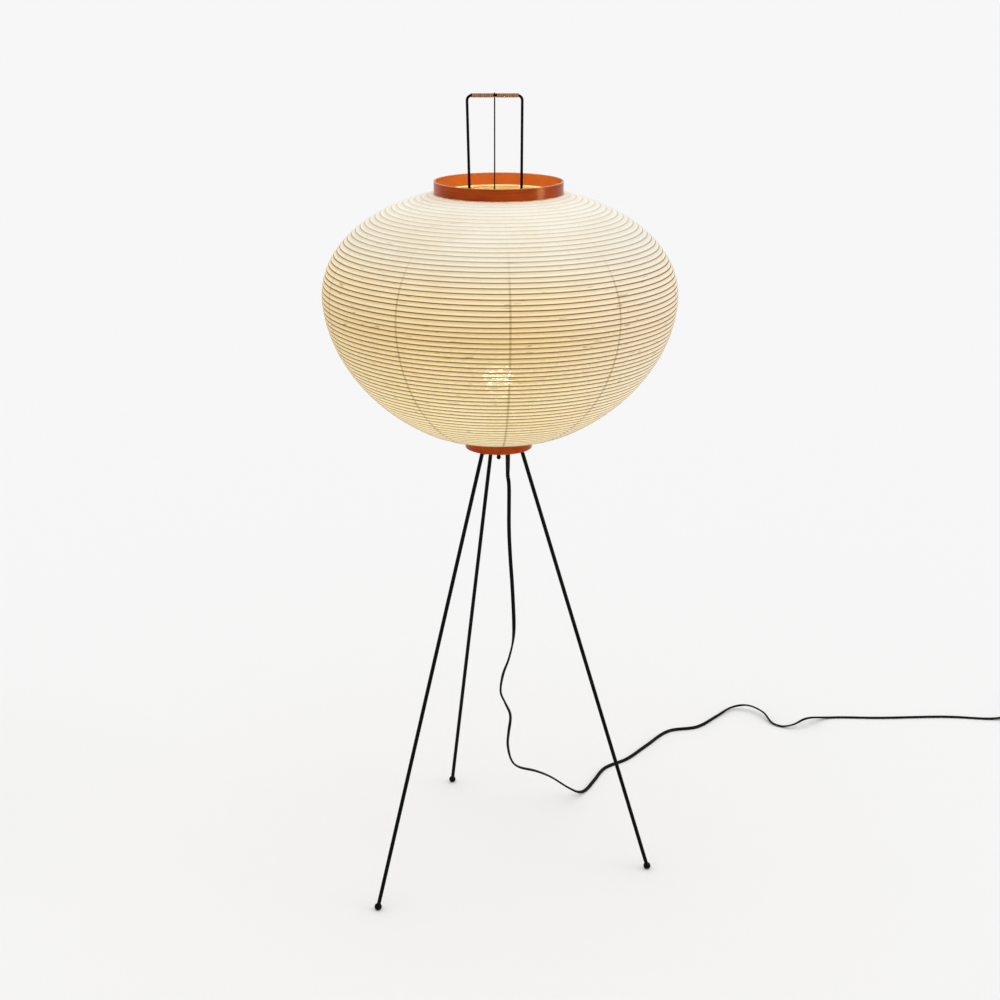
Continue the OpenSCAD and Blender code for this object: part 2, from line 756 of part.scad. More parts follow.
// One course of the paper skin, from hoop a to hoop b: ridges over the hoops and a valley
// between each two
module paper_course(a, b) {
  line = [for (k = [2 * a : 2 * b])
    k == 2 * a && a > 0 ? [rib_s(a) + course_gap / 2, 0]
    : k == 2 * b && b < rib_count ? [rib_s(b) - course_gap / 2, 0]
    : k % 2 == 0 ? [rib_s(k / 2), 0]
    : [(rib_s((k - 1) / 2) + rib_s((k + 1) / 2)) / 2, valley_depth]];
  count = len(line);
  outer = [for (q = line) under_skin(q[0], q[1])];
  inner = [for (i = [count - 1 : -1 : 0]) under_skin(line[i][0], line[i][1] + paper_t)];
  rotate_extrude($fn = round_fn)
    polygon(concat(outer, inner));
}

// The skin is pasted on in two courses that meet over the hoop at the waist
module paper_shade() {
  color([0.95, 0.89, 0.74]) {
    paper_course(0, waist_rib);
    paper_course(waist_rib, rib_count);
  }
}

module bamboo_ribs() {
  color([0.66, 0.54, 0.32])
    for (k = [1 : rib_count - 1]) {
      p = under_skin(rib_s(k), rib_depth);
      translate([0, 0, p[1]])
        rotate_extrude($fn = round_fn)
          translate([p[0], 0])
            circle(d = rib_d, $fn = 6);
    }
}

module rib_threads() {
  color([0.62, 0.55, 0.36])
    for (i = [0 : thread_count - 1]) {
      a = thread_turn - 90 + 360 * i / thread_count;
      path = [for (j = [0 : thread_steps])
        let (s = thread_end + (meridian_len - 2 * thread_end) * j / thread_steps,
             p = under_skin(s, thread_depth))
        [p[0] * cos(a), p[0] * sin(a), p[1]]];
      flat_tube(path, [for (p = path) [-sin(a), cos(a), 0]], thread_d, thread_d, 4);
    }
}

// ---------- light ----------

// A bridge of strip steel that carries the lampholder over the bolt's head
module holder_bracket() {
  color(steel)
    difference() {
      translate([-bracket_w / 2, -bracket_d / 2, bracket_z])
        cube([bracket_w, bracket_d, bracket_top_z + bracket_t - bracket_z]);
      translate([-bracket_w, -bracket_d / 2 + bracket_t, bracket_z + bracket_t])
        cube([2 * bracket_w, bracket_d - 2 * bracket_t, bracket_top_z - bracket_z - bracket_t]);
      translate([0, 0, bracket_z - 1])
        cylinder(r = bolt_r + fit_gap, h = bracket_t + 2, $fn = small_fn);
      translate([0, 0, bracket_top_z - 1])
        cylinder(r = nipple_r + fit_gap, h = bracket_t + 2, $fn = small_fn);
    }
}

module holder_nipple() {
  color(brass)
    tube(nipple_r, nipple_r - 1.3, nipple_low_z, nipple_top_z - nipple_low_z);
}

module holder_nut() {
  nut_h = 3;
  color(steel)
    translate([0, 0, bracket_top_z - nut_h])
      difference() {
        cylinder(r = 7.5, h = nut_h, $fn = 6);
        translate([0, 0, -1])
          cylinder(r = nipple_r + fit_gap, h = nut_h + 2, $fn = small_fn);
      }
}

module holder_base() {
  holder_r = holder_d / 2;
  color(black)
    difference() {
      translate([0, 0, holder_z])
        cylinder(r = holder_r, h = shell_z - holder_z, $fn = round_fn);
      translate([0, 0, holder_z - 1])
        cylinder(r = nipple_r + fit_gap, h = 10, $fn = small_fn);
      translate([0, 0, holder_z + 3.5])
        cylinder(r = 15, h = 20, $fn = round_fn);
      translate([0, 0, insert_z])
        cylinder(r = holder_r - 2.4, h = 20, $fn = round_fn);
    }
}

module holder_insert() {
  color([0.93, 0.92, 0.88])
    translate([0, 0, insert_z])
      cylinder(r = holder_d / 2 - 2.5, h = insert_t, $fn = round_fn);
}

module holder_shell() {
  color(black)
    tube(holder_d / 2, holder_d / 2 - 2.4, shell_z, shell_h);
}

module contact_sleeve() {
  color(brass)
    tube(sleeve_r + 0.8, sleeve_r, insert_z + insert_t, sleeve_h);
}

// A brass tongue that presses up on the bulb's tip
module centre_contact() {
  tongue_w = 5;
  tongue_z = insert_z + insert_t;
  color(brass)
    rotate([90, 0, 0])
      translate([0, 0, -tongue_w / 2])
        linear_extrude(tongue_w)
          polygon([
            [-9, tongue_z], [-1, tongue_z], [-1, tongue_z + 0.6], [-7.5, tongue_z + 0.6],
            [-2, tongue_z + 3.1], [3, tongue_z + 3.1], [3, tongue_z + 3.7], [-2.2, tongue_z + 3.7],
            [-9, tongue_z + 0.6]]);
}

// The flex's two cores, from the bushing round into the nipple
module inner_leads() {
  core_d = 2.2;
  start_z = hub_z + hub_t + 3;
  for (side = [-1, 1]) {
    off = side * 1.3;
    path = evenly(curve([
      [cord_x, cord_y + off, start_z], [cord_x, cord_y + off, start_z + 3],
      [cord_x - 3, cord_y * 0.8 + off, start_z + 6], [4.5, 1.2 + off, start_z + 8.5],
      [0.8, off, start_z + 11], [0, off, start_z + 14], [0, off, nipple_top_z]], 6), 18);
    sides = [for (i = [0 : len(path) - 1])
      unit(cross([0, 1, 0], heading(path, i)))];
    color(side < 0 ? [0.10, 0.20, 0.55] : [0.40, 0.22, 0.10])
      flat_tube(path, sides, core_d, core_d, 8);
  }
}

// A thin glass globe whose neck goes down into the cap
module bulb_glass() {
  glass_t = 1;
  arc_steps = 20;
  color([0.98, 0.94, 0.82, 0.8])
    rotate_extrude($fn = round_fn)
      polygon(concat(
        [[bulb_cap_r - 0.6, bulb_neck_z]],
        globe_arc(bulb_r, arc_steps),
        [for (i = [arc_steps : -1 : 0]) globe_arc(bulb_r - glass_t, arc_steps)[i]],
        [[bulb_cap_r - 0.6 - glass_t, bulb_neck_z]]));
}

// The globe's side view from the neck up to the axis
function globe_arc(r, steps) = [for (i = [0 : steps])
  let (a = globe_low + (90 - globe_low) * i / steps)
  [max(0, r * cos(a)), bulb_z + r * sin(a)]];

// The screw cap, its thread shown as rings
module bulb_cap() {
  crests = 6;
  thread_h = bulb_neck_z - 3 - (bulb_cap_z + 4);
  side = [for (i = [0 : 2 * crests])
    [bulb_cap_r - (i % 2 == 0 ? 0.6 : 0), bulb_cap_z + 4 + thread_h * i / (2 * crests)]];
  color(steel)
    rotate_extrude($fn = round_fn)
      polygon(concat(
        [[0, bulb_cap_z], [7, bulb_cap_z]], side,
        [[bulb_cap_r - 0.6, bulb_neck_z], [bulb_cap_r - 1.4, bulb_neck_z],
         [bulb_cap_r - 1.4, bulb_cap_z + 5], [0, bulb_cap_z + 5]]));
}

module bulb_tip() {
  color(steel)
    translate([0, 0, bulb_cap_z - bulb_tip_h])
      cylinder(r = 4.5, h = bulb_tip_h, $fn = small_fn);
}

// ---------- cord, switch, coil and plug ----------

module cord_run() {
  route = curve(cord_route, 8);
  length = running(step_lengths(route))[len(route) - 1];
  step = length / (cord_rings - 1);
  path = laid(evenly(route, cord_rings), step);
  sides = [for (i = [0 : cord_rings - 1]) twisted_side(path, i, step)];
  color(black)
    flat_tube(path, sides, cord_w, cord_t, 8);
}

module cord_coil() {
  report_coil_gap();
  color(black)
    flat_tube(coil_path, [for (i = [0 : len(coil_path) - 1]) cord_side(coil_path, i)],
              cord_w, cord_t, 6);
}

// Two bands round the coil, on its left and on its right
module coil_ties() {
  band_t = 0.6;
  band_len = 8;
  r_low = coil_r - coil_pitch * coil_turns / 2 - cord_w / 2 - 0.8;
  r_high = coil_r + cord_w / 2 + 0.8;
  color([0.16, 0.16, 0.16])
    for (turn = [0, 180])
      translate([coil_x, coil_y, 0])
        rotate([0, 0, turn])
          difference() {
            translate([r_low - band_t, -band_len / 2, 0])
              cube([r_high - r_low + 2 * band_t, band_len, coil_high_z + 2.6]);
            translate([r_low, -band_len, band_t])
              cube([r_high - r_low, 2 * band_len, coil_high_z + 2.6 - 2 * band_t]);
          }
}

// The switch's lower tray, with a tapered strain relief at each end for the flex
module switch_base() {
  color(black)
    translate([switch_x, switch_y, 0])
      difference() {
        union() {
          stadium(switch_len, switch_w, 0, switch_split_z);
          translate([-switch_len / 2 - switch_nose, -4.5, 1])
            cube([switch_len + 2 * switch_nose, 9, switch_split_z]);
          for (side = [-90, 90])
            translate([side / 90 * (switch_len / 2 + 0.5), 0, switch_cord_z])
              rotate([0, side, 0])
                cylinder(r1 = 4.6, r2 = 3.5, h = relief_len - 0.5, $fn = small_fn);
        }
        stadium(switch_len - 2 * switch_wall, switch_w - 2 * switch_wall, 2.6, 20);
        for (x = [-1, 1])
          translate([x * 21, 0, -1]) {
            cylinder(r = 1.5 + fit_gap, h = 10, $fn = small_fn);
            cylinder(r = 2.8, h = 2.5, $fn = small_fn);
          }
      }
}

// The switch's cover, with the button's hole and posts for the screws
module switch_cover() {
  h = switch_top_z - switch_split_z;
  color(black)
    translate([switch_x, switch_y, 0]) {
      difference() {
        union() {
          stadium(switch_len, switch_w, switch_split_z, h - 1.5);
          stadium(switch_len - 3, switch_w - 3, switch_split_z, h);
        }
        stadium(switch_len - 2 * switch_wall, switch_w - 2 * switch_wall, switch_split_z - 1, h - 1);
        translate([0, 0, switch_split_z])
          cylinder(r = button_r + run_gap, h = 20, $fn = round_fn);
        translate([-switch_len, -4.5 - run_gap / 2, 0])
          cube([2 * switch_len, 9 + run_gap, switch_split_z + 1 + run_gap / 2]);
      }
      for (x = [-1, 1])
        translate([x * 21, 0, 2.7])
          difference() {
            cylinder(r = 3.4, h = switch_top_z - 2 - 2.7 + 0.2, $fn = small_fn);
            translate([0, 0, -1])
              cylinder(r = 1.5, h = 8, $fn = small_fn);
          }
    }
}

module switch_button() {
  color([0.12, 0.12, 0.12])
    translate([switch_x, switch_y, 0]) {
      translate([0, 0, button_flange_z])
        cylinder(r = button_flange_r, h = 2, $fn = round_fn);
      translate([0, 0, button_flange_z])
        cylinder(r = button_r, h = button_top_z - 1 - button_flange_z, $fn = round_fn);
      translate([0, 0, button_top_z - 1])
        cylinder(r1 = button_r, r2 = button_r - 1, h = 1, $fn = round_fn);
    }
}

module switch_spring() {
  low = spring_low_z + spring_wire_d / 2;
  high = button_flange_z - 0.1 - spring_wire_d / 2;
  path = [for (k = [0 : spring_turns * 8])
    let (a = 45 * k)
    [switch_x + spring_r * cos(a), switch_y + spring_r * sin(a), low + (high - low) * k / (spring_turns * 8)]];
  color(steel)
    flat_tube(path, [for (p = path) unit([p[0] - switch_x, p[1] - switch_y, 0])],
              spring_wire_d, spring_wire_d, 6);
}

module switch_screws() {
  color(steel)
    for (x = [-1, 1])
      translate([switch_x + x * 21, switch_y, 0.3]) {
        cylinder(r = 2.6, h = 1.2, $fn = small_fn);
        cylinder(r = 1.45, h = 8, $fn = small_fn);
      }
}

// The plug's body: a flat grip that narrows to the flex, lying on its broad side
module plug_body() {
  grip_len = plug_len - plug_relief;
  color(black)
    difference() {
      union() {
        translate([plug_rear_x - plug_len, plug_y, 0])
          linear_extrude(2 * plug_z)
            polygon([
              [0, -13], [2, -15], [12, -17.5], [20, -17], [grip_len, -7],
              [grip_len, 7], [20, 17], [12, 17.5], [2, 15], [0, 13]]);
        translate([plug_rear_x - plug_relief, plug_y, plug_z])
          rotate([0, 90, 0])
            cylinder(r1 = 5.8, r2 = 3.6, h = plug_relief, $fn = small_fn);
      }
      for (side = [-1, 1])
        translate([plug_rear_x - plug_len - 1, plug_y + side * pin_gap / 2, plug_z])
          rotate([0, 90, 0])
            cylinder(r = 2.5, h = 7, $fn = small_fn);
    }
}

module plug_pins() {
  color(brass)
    for (side = [-1, 1])
      translate([plug_rear_x - plug_len, plug_y + side * pin_gap / 2, plug_z]) {
        rotate([0, -90, 0])
          cylinder(r = 2, h = pin_len, $fn = small_fn);
        rotate([0, 90, 0])
          cylinder(r = 2.5 - 0.02, h = 5.9, $fn = small_fn);
      }
}

leg(0);  // leg_front_left
leg(1);  // leg_front_right
leg(2);  // leg_back
foot(0);  // foot_front_left
foot(1);  // foot_front_right
foot(2);  // foot_back
leg_socket(0);  // leg_socket_front_left
leg_socket(1);  // leg_socket_front_right
leg_socket(2);  // leg_socket_back
leg_grub_screws();
hub_plate();
centre_bolt();
centre_nut();
cord_bushing();
bail_frame();
bail_sockets();
cane_wrap(cane_left_x);  // cane_wrap_left
cane_wrap(cane_right_x);  // cane_wrap_right
tension_wire();
top_ring();
top_strap();
top_strap_screws();
bottom_ring();
bottom_strap();
bottom_strap_screws();
paper_shade();
bamboo_ribs();
rib_threads();
holder_bracket();
holder_nipple();
holder_nut();
holder_base();
holder_insert();
holder_shell();
contact_sleeve();
centre_contact();
inner_leads();
bulb_glass();
bulb_cap();
bulb_tip();
cord_run();
cord_coil();
coil_ties();
switch_base();
switch_cover();
switch_button();
switch_spring();
switch_screws();
plug_body();
plug_pins();
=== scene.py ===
"""Looks of a paper lantern floor lamp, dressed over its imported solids.

Metres, +Z up, the front of the lamp towards -Y. The lantern's axis is the Z axis.
"""

import json
import logging
import math
import sys
from dataclasses import dataclass, field
from enum import Enum
from typing import Any, Callable, Dict, Optional, Sequence, Tuple, Union

import bpy
import numpy as np
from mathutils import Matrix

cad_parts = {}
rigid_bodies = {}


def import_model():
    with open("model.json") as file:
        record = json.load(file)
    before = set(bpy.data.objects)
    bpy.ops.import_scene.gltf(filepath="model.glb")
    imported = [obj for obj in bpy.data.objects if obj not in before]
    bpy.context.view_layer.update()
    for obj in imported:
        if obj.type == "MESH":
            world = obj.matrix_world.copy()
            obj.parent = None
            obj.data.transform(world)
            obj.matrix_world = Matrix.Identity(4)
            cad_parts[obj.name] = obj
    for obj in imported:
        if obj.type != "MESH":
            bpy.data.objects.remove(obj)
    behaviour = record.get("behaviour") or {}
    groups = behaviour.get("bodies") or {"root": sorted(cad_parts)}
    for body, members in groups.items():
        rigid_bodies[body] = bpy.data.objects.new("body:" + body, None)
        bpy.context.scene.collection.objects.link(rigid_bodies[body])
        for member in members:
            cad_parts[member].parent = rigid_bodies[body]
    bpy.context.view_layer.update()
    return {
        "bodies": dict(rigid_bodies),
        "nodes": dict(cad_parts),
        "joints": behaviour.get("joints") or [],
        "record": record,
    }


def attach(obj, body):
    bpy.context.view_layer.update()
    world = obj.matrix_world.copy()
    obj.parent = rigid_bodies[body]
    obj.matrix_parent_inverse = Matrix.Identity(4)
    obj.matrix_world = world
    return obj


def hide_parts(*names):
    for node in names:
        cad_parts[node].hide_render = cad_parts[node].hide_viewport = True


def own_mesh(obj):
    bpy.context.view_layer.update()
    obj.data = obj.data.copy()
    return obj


log = logging.getLogger("paper_lantern")
MM = 0.001
LAMP_BODY = "lamp"
Colour = Tuple[float, float, float]
Value = Union["Expr", float]
Material = bpy.types.Material
Piece = bpy.types.Object


# ---------------------------------------------------------------- shader maths


def math_method(operation: str, swapped: bool = False) -> Callable[..., "Expr"]:
    """Makes a method of Expr that adds one Math node.

    Args:
        operation: Blender's name of the operation.
        swapped: whether the other value comes first, as a reflected operator needs.

    Returns:
        The method, which takes the values that go with its own and gives an Expr.
    """

    def method(self: "Expr", *others: Value) -> "Expr":
        """Adds the node and wraps its result.

        Args:
            others: the values that go with this one.

        Returns:
            The result.
        """
        values = (*others, self) if swapped else (self, *others)
        inputs = dict(enumerate(values))
        node = self.graph.node("ShaderNodeMath", {"operation": operation}, inputs)
        return Expr(self.graph, node.outputs[0])

    return method


class Expr:
    """A shader value, so that node maths reads as a Python expression."""

    __add__ = math_method("ADD")
    __sub__ = math_method("SUBTRACT")
    __rsub__ = math_method("SUBTRACT", swapped=True)
    __mul__ = math_method("MULTIPLY")
    __rtruediv__ = math_method("DIVIDE", swapped=True)
    __pow__ = math_method("POWER")
    __abs__ = math_method("ABSOLUTE")
    arctan2 = math_method("ARCTAN2")
    fract = math_method("FRACT")
    nearest = math_method("ROUND")
    least = math_method("MINIMUM")

    def __init__(self, graph: "Graph", socket: Any) -> None:
        """Wraps one output socket of a graph's node."""
        self.graph = graph
        self.socket = socket

    def rise(self, low: float, high: float) -> "Expr":
        """A smooth step: 0 up to low, 1 from high on, and an S curve between them.

        Args:
            low: where it leaves 0.
            high: where it reaches 1.

        Returns:
            The step.
        """
        node = self.graph.node(
            "ShaderNodeMapRange",
            {"interpolation_type": "SMOOTHSTEP"},
            {"Value": self, "From Min": low, "From Max": high},
        )
        return Expr(self.graph, node.outputs["Result"])


class Graph:
    """One material's node tree, with a short way to add each kind of node."""

    def __init__(self, name: str) -> None:
        """Makes an empty node material.

        Args:
            name: the material's name.
        """
        self.material = bpy.data.materials.new(name)
        self.material.use_nodes = True
        self.tree = self.material.node_tree
        self.tree.nodes.clear()

    def node(self, kind: str, settings: Dict[str, Any], inputs: Dict[Any, Any]) -> Any:
        """Adds any node: its settings first, then its sockets.

        Args:
            kind: Blender's name of the node's type.
            settings: attributes by name; "stops" gives a colour ramp's stops.
            inputs: socket name or number to a number, colour, Expr or socket.

        Returns:
            The new node.
        """
        made = self.tree.nodes.new(kind)
        for key, value in settings.items():
            if key == "stops":
                ramp = made.color_ramp
                while len(ramp.elements) > 1:
                    ramp.elements.remove(ramp.elements[-1])
                for i, (at, colour) in enumerate(value):
                    stop = ramp.elements[0] if i == 0 else ramp.elements.new(at)
                    stop.position = at
                    stop.color = (*colour, 1.0)
            else:
                setattr(made, key, value)
        for key, value in inputs.items():
            if isinstance(value, Expr):
                self.tree.links.new(value.socket, made.inputs[key])
            elif isinstance(value, bpy.types.NodeSocket):
                self.tree.links.new(value, made.inputs[key])
            elif isinstance(value, tuple) and made.inputs[key].type == "RGBA":
                made.inputs[key].default_value = (*value, 1.0)
            else:
                made.inputs[key].default_value = value
        return made

    def place(self) -> Any:
        """The point on the object, as a vector socket in metres."""
        return self.node("ShaderNodeTexCoord", {}, {}).outputs["Object"]

    def axes(self) -> Tuple[Expr, Expr, Expr]:
        """The point's x, y and z as three values."""
        parts = self.node("ShaderNodeSeparateXYZ", {}, {"Vector": self.place()})
        return tuple(Expr(self, parts.outputs[k]) for k in ("X", "Y", "Z"))

    def attribute(self, name: str) -> Expr:
        """A number kept on the mesh under that name."""
        made = self.node("ShaderNodeAttribute", {"attribute_name": name}, {})
        return Expr(self, made.outputs["Fac"])

    def vector(self, x: Value, y: Value, z: Value) -> Any:
        """A vector socket from three values."""
        return self.node("ShaderNodeCombineXYZ", {}, {"X": x, "Y": y, "Z": z}).outputs[0]

    def stretched(self, scale: Tuple[float, float, float]) -> Any:
        """The point on the object with each axis scaled, as a vector socket."""
        return self.node(
            "ShaderNodeMapping", {}, {"Vector": self.place(), "Scale": scale}
        ).outputs[0]

    def noise(self, vector: Any, scale: float, detail: float = 3.0, rough: float = 0.55) -> Expr:
        """Soft noise from 0 to 1 at a vector.

        Args:
            vector: where it is read.
            scale: how fine it is.
            detail: how many finer layers it has.
            rough: how strong they are.

        Returns:
            The noise.
        """
        inputs = {"Vector": vector, "Scale": scale, "Detail": detail, "Roughness": rough}
        return Expr(self, self.node("ShaderNodeTexNoise", {}, inputs).outputs["Fac"])

    def blend(self, share: Value, first: Any, second: Any) -> Any:
        """The first colour with a share of the second, as a colour socket.

        Args:
            share: from 0 to 1.
            first: a colour or socket.
            second: a colour or socket.

        Returns:
            The socket.
        """
        made = self.node(
            "ShaderNodeMix", {"data_type": "RGBA"}, {"Factor": share, 6: first, 7: second}
        )
        return made.outputs[2]

    def ramp(self, share: Value, stops: Sequence[Tuple[float, Colour]]) -> Any:
        """A colour from a list of stops, as a colour socket."""
        return self.node("ShaderNodeValToRGB", {"stops": stops}, {"Fac": share}).outputs["Color"]

    def bump(self, height: Value, depth: float) -> Any:
        """A normal socket from a height from 0 to 1 that stands depth metres deep."""
        inputs = {"Height": height, "Distance": depth, "Strength": 1.0}
        return self.node("ShaderNodeBump", {}, inputs).outputs["Normal"]

    def finish(self, **sockets: Any) -> Material:
        """Ends the tree in one Principled shader.

        Args:
            sockets: values by socket name, with underscores for spaces.

        Returns:
            The material.
        """
        shader = self.node(
            "ShaderNodeBsdfPrincipled", {}, {k.replace("_", " "): v for k, v in sockets.items()}
        )
        self.node("ShaderNodeOutputMaterial", {}, {"Surface": shader.outputs[0]})
        return self.material


# ------------------------------------------------------------------- finishes


@dataclass(frozen=True)
class BlackPaint:
    """Satin black paint on steel, thin at scuffs."""

    name: str = "black_paint"
    base: Colour = (0.0030, 0.0030, 0.0032)
    scuff: Colour = (0.012, 0.012, 0.0125)
    rough: float = 0.36

    def material(self) -> Material:
        """Builds the finish.

        Returns:
            The material.
        """
        g = Graph(self.name)
        cloud = g.noise(g.place(), 60.0, 4.0)
        grain = g.noise(g.place(), 900.0, 3.0)
        worn = g.noise(g.stretched((300.0, 300.0, 40.0)), 1.0, 5.0).rise(0.62, 0.75)
        return g.finish(
            Base_Color=g.blend(worn * 0.7, self.base, self.scuff),
            Roughness=cloud * 0.16 + worn * 0.10 + (self.rough - 0.08),
            Specular_IOR_Level=0.045,
            Normal=g.bump(grain, 0.00006),
        )


@dataclass(frozen=True)
class PlatedMetal:
    """Plated or bare metal with fine rolling marks."""

    name: str
    base: Colour
    tarnish: Colour
    rough: float

    def material(self) -> Material:
        """Builds the finish.

        Returns:
            The material.
        """
        g = Graph(self.name)
        cloud = g.noise(g.place(), 90.0, 4.0)
        lines = g.noise(g.stretched((1500.0, 90.0, 1500.0)), 1.0, 3.0)
        return g.finish(
            Base_Color=g.blend(cloud.rise(0.35, 0.75), self.base, self.tarnish),
            Metallic=1.0,
            Roughness=lines * 0.18 + cloud * 0.12 + (self.rough - 0.13),
            Normal=g.bump(lines, 0.00003),
        )


@dataclass(frozen=True)
class VarnishedBentwood:
    """Orange varnish over thin bent wood, its grain running round the ring."""

    name: str
    deep: Colour
    bright: Colour
    rim_z: float
    foot_z: float
    wall_r: float

    def material(self) -> Material:
        """Builds the finish: grain round the axis, dark pores, a paler band at the top edge,
        painted bulb light on the inside wall and a faint painted glow along the lower edge.

        Returns:
            The material.
        """
        g = Graph(self.name)
        x, y, z = g.axes()
        radius = (x * x + y * y) ** 0.5
        turn = y.arctan2(x)
        grain = g.noise(g.vector(turn * 2.2, radius * 300.0, z * 1100.0), 1.0, 5.0, 0.6)
        pores = g.noise(g.vector(turn * 26.0, radius * 300.0, z * 2600.0), 1.0, 3.0)
        pores = pores.rise(0.60, 0.72)
        cloud = g.noise(g.vector(turn * 1.6, 0.0, z * 40.0), 1.3, 3.0)
        flame = (grain * 0.65 + cloud * 0.5).rise(0.32, 0.82)
        rim = (z - self.rim_z + 0.0011).rise(0.0, 0.0009)
        # a faint painted glow along the lower edge
        foot = (z * -1.0 + (self.foot_z + 0.0009)).rise(0.0, 0.0009)
        # painted light of the bulb on the inside wall
        inside = 1.0 - radius.rise(self.wall_r - 0.0004, self.wall_r + 0.0004)
        wood = g.blend(flame, self.deep, self.bright)
        wood = g.blend(inside * 0.55, wood, (0.66, 0.185, 0.040))
        shaded = tuple(c * share for c, share in zip(self.deep, (0.45, 0.4, 0.4)))
        wood = g.blend(pores * 0.35, wood, shaded)
        wood = g.blend(rim * 0.55 + foot * 0.15, wood, (0.74, 0.30, 0.085))
        return g.finish(
            Base_Color=wood,
            Roughness=grain * 0.10 + pores * 0.08 + 0.16,
            Specular_IOR_Level=0.10,
            Normal=g.bump(grain * 0.7 + pores * -0.5 + 0.5, 0.00010),
        )


@dataclass(frozen=True)
class LanternPaper:
    """Fibrous paper glued over bamboo hoops and lit from inside.

    The mesh keeps "band", the count of hoops from the top. Hoops and threads show as brown
    lines, darker where they cross, partly painted shadow through the lit paper. Light and shade
    are painted too: a pale band above each hoop, paler paper up top and on the right, shade on
    the left.
    """

    name: str = "lantern_paper"
    hoop_step: float = 8.5
    threads: int = 10
    thread_turn: float = 3.5
    bulb_z: float = 0.80
    foot_z: float = 0.70
    height: float = 0.37

    def material(self) -> Material:
        """Builds the finish.

        Returns:
            The material.
        """
        g = Graph(self.name)
        x, y, z = g.axes()
        band = g.attribute("band")
        radius = (x * x + y * y) ** 0.5
        turn = y.arctan2(x)
        # long fibres lie along the hoops, a few cross them
        fibre = g.noise(g.vector(x * 26.0, y * 26.0, band * 7.5), 1.0, 5.0, 0.62)
        strand = g.noise(g.vector(x * 60.0, y * 60.0, band * 26.0), 1.0, 2.0)
        fine = g.noise(g.place(), 420.0, 4.0, 0.6)
        cloud = g.noise(g.place(), 9.0, 3.0)
        per_band = g.noise(g.vector(x * 2.2, y * 2.2, band.nearest() * 7.31), 1.0, 2.0)
        # down each band: a brown line at the hoop, which is painted shadow of the hoop through the
        # lit paper and painted shade under its ridge; a warm middle tone; and a pale edge over the
        # next hoop, which is painted light on the slope that faces up
        off = (band - band.nearest()) * self.hoop_step
        side = abs(off) + (strand - 0.5) * 0.45
        depth = band.fract()
        pale = depth.rise(0.08, 0.85)
        # strength: how strong the painted shade of the lines and between the fibres is, weak near
        # the top where the paper faces up into the light, and a little weaker at the foot
        strength = (1.0 - z.rise(0.95, 1.082) * 0.80) * (z.rise(0.70, 0.80) * 0.25 + 0.75)
        line = (1.0 - side.rise(0.40, 1.45)) * (per_band * 0.4 + 0.82) * strength
        # the lengthwise threads, faint near the top; their brown line is partly the thread's own
        # colour and partly painted shadow through the lit paper
        phase = turn * (self.threads / (2 * math.pi)) - self.thread_turn * self.threads / 360.0
        phase = phase + (self.threads / 4.0 + 0.5)
        away = abs(phase.fract() - 0.5) * radius * (2000.0 * math.pi / self.threads)
        thread = 1.0 - (away + (strand - 0.5) * 1.4).rise(0.7, 2.3)
        thread = thread * (1.0 - z.rise(0.955, 1.03) * 0.96)
        knots = 1.0 - side.rise(0.4, 1.8)
        # tones by height: pale and cool up top and warmer lower down, painted light from above and
        # painted glow of the bulb through the paper
        height = (z - self.foot_z) * (1 / self.height)
        middle = g.ramp(height, [
            (0.05, (0.60, 0.49, 0.26)), (0.30, (0.60, 0.475, 0.24)),
            (0.58, (0.63, 0.43, 0.185)), (0.73, (0.80, 0.62, 0.335)),
            (0.85, (0.79, 0.73, 0.56)), (1.0, (0.89, 0.875, 0.79)),
        ])
        edge = g.ramp(height, [
            (0.05, (0.83, 0.78, 0.55)), (0.30, (0.85, 0.80, 0.54)),
            (0.58, (0.88, 0.735, 0.42)), (0.73, (0.93, 0.84, 0.60)),
            (0.85, (0.90, 0.90, 0.80)), (1.0, (0.92, 0.95, 0.90)),
        ])
        # the pale edge over each hoop is painted light on the slope that faces up
        paper = g.blend(pale, middle, edge)
        paper = g.blend(cloud.rise(0.35, 0.75) * 0.20, paper, (0.72, 0.50, 0.24))
        # paler and greyer towards the right: painted light of the key light's white sheen
        paper = g.blend(x.rise(0.02, 0.24) * 0.50, paper, (0.71, 0.715, 0.71))
        # painted shade on the left side, away from the key light, less of it up top
        painted_left_shade = (x * -1.0).rise(0.10, 0.26) * (1.0 - z.rise(0.93, 1.0)) * 0.25
        paper = g.blend(painted_left_shade, paper, (0.56, 0.52, 0.40))
        paper = g.blend(fibre.rise(0.55, 0.80) * 0.22, paper, (0.96, 0.91, 0.76))
        between = (1.0 - fibre.rise(0.22, 0.46)) * 0.13 * strength
        paper = g.blend(between, paper, (0.50, 0.34, 0.14))
        paper = g.blend(thread * (knots * 0.34 + 0.40), paper, (0.23, 0.150, 0.022))
        # each hoop's brown line: painted shadow through the lit paper and painted shade under its
        # ridge
        paper = g.blend(line.least(0.95), paper, (0.180, 0.074, 0.004))
        # dark specks of bark lie along the hoops
        bark = g.noise(g.vector(x * 38.0, y * 38.0, band * 2.6), 1.0, 1.0).rise(0.695, 0.745)
        paper = g.blend(bark * (1.0 - z.rise(0.92, 1.04) * 0.6) * 0.6, paper, (0.16, 0.09, 0.03))
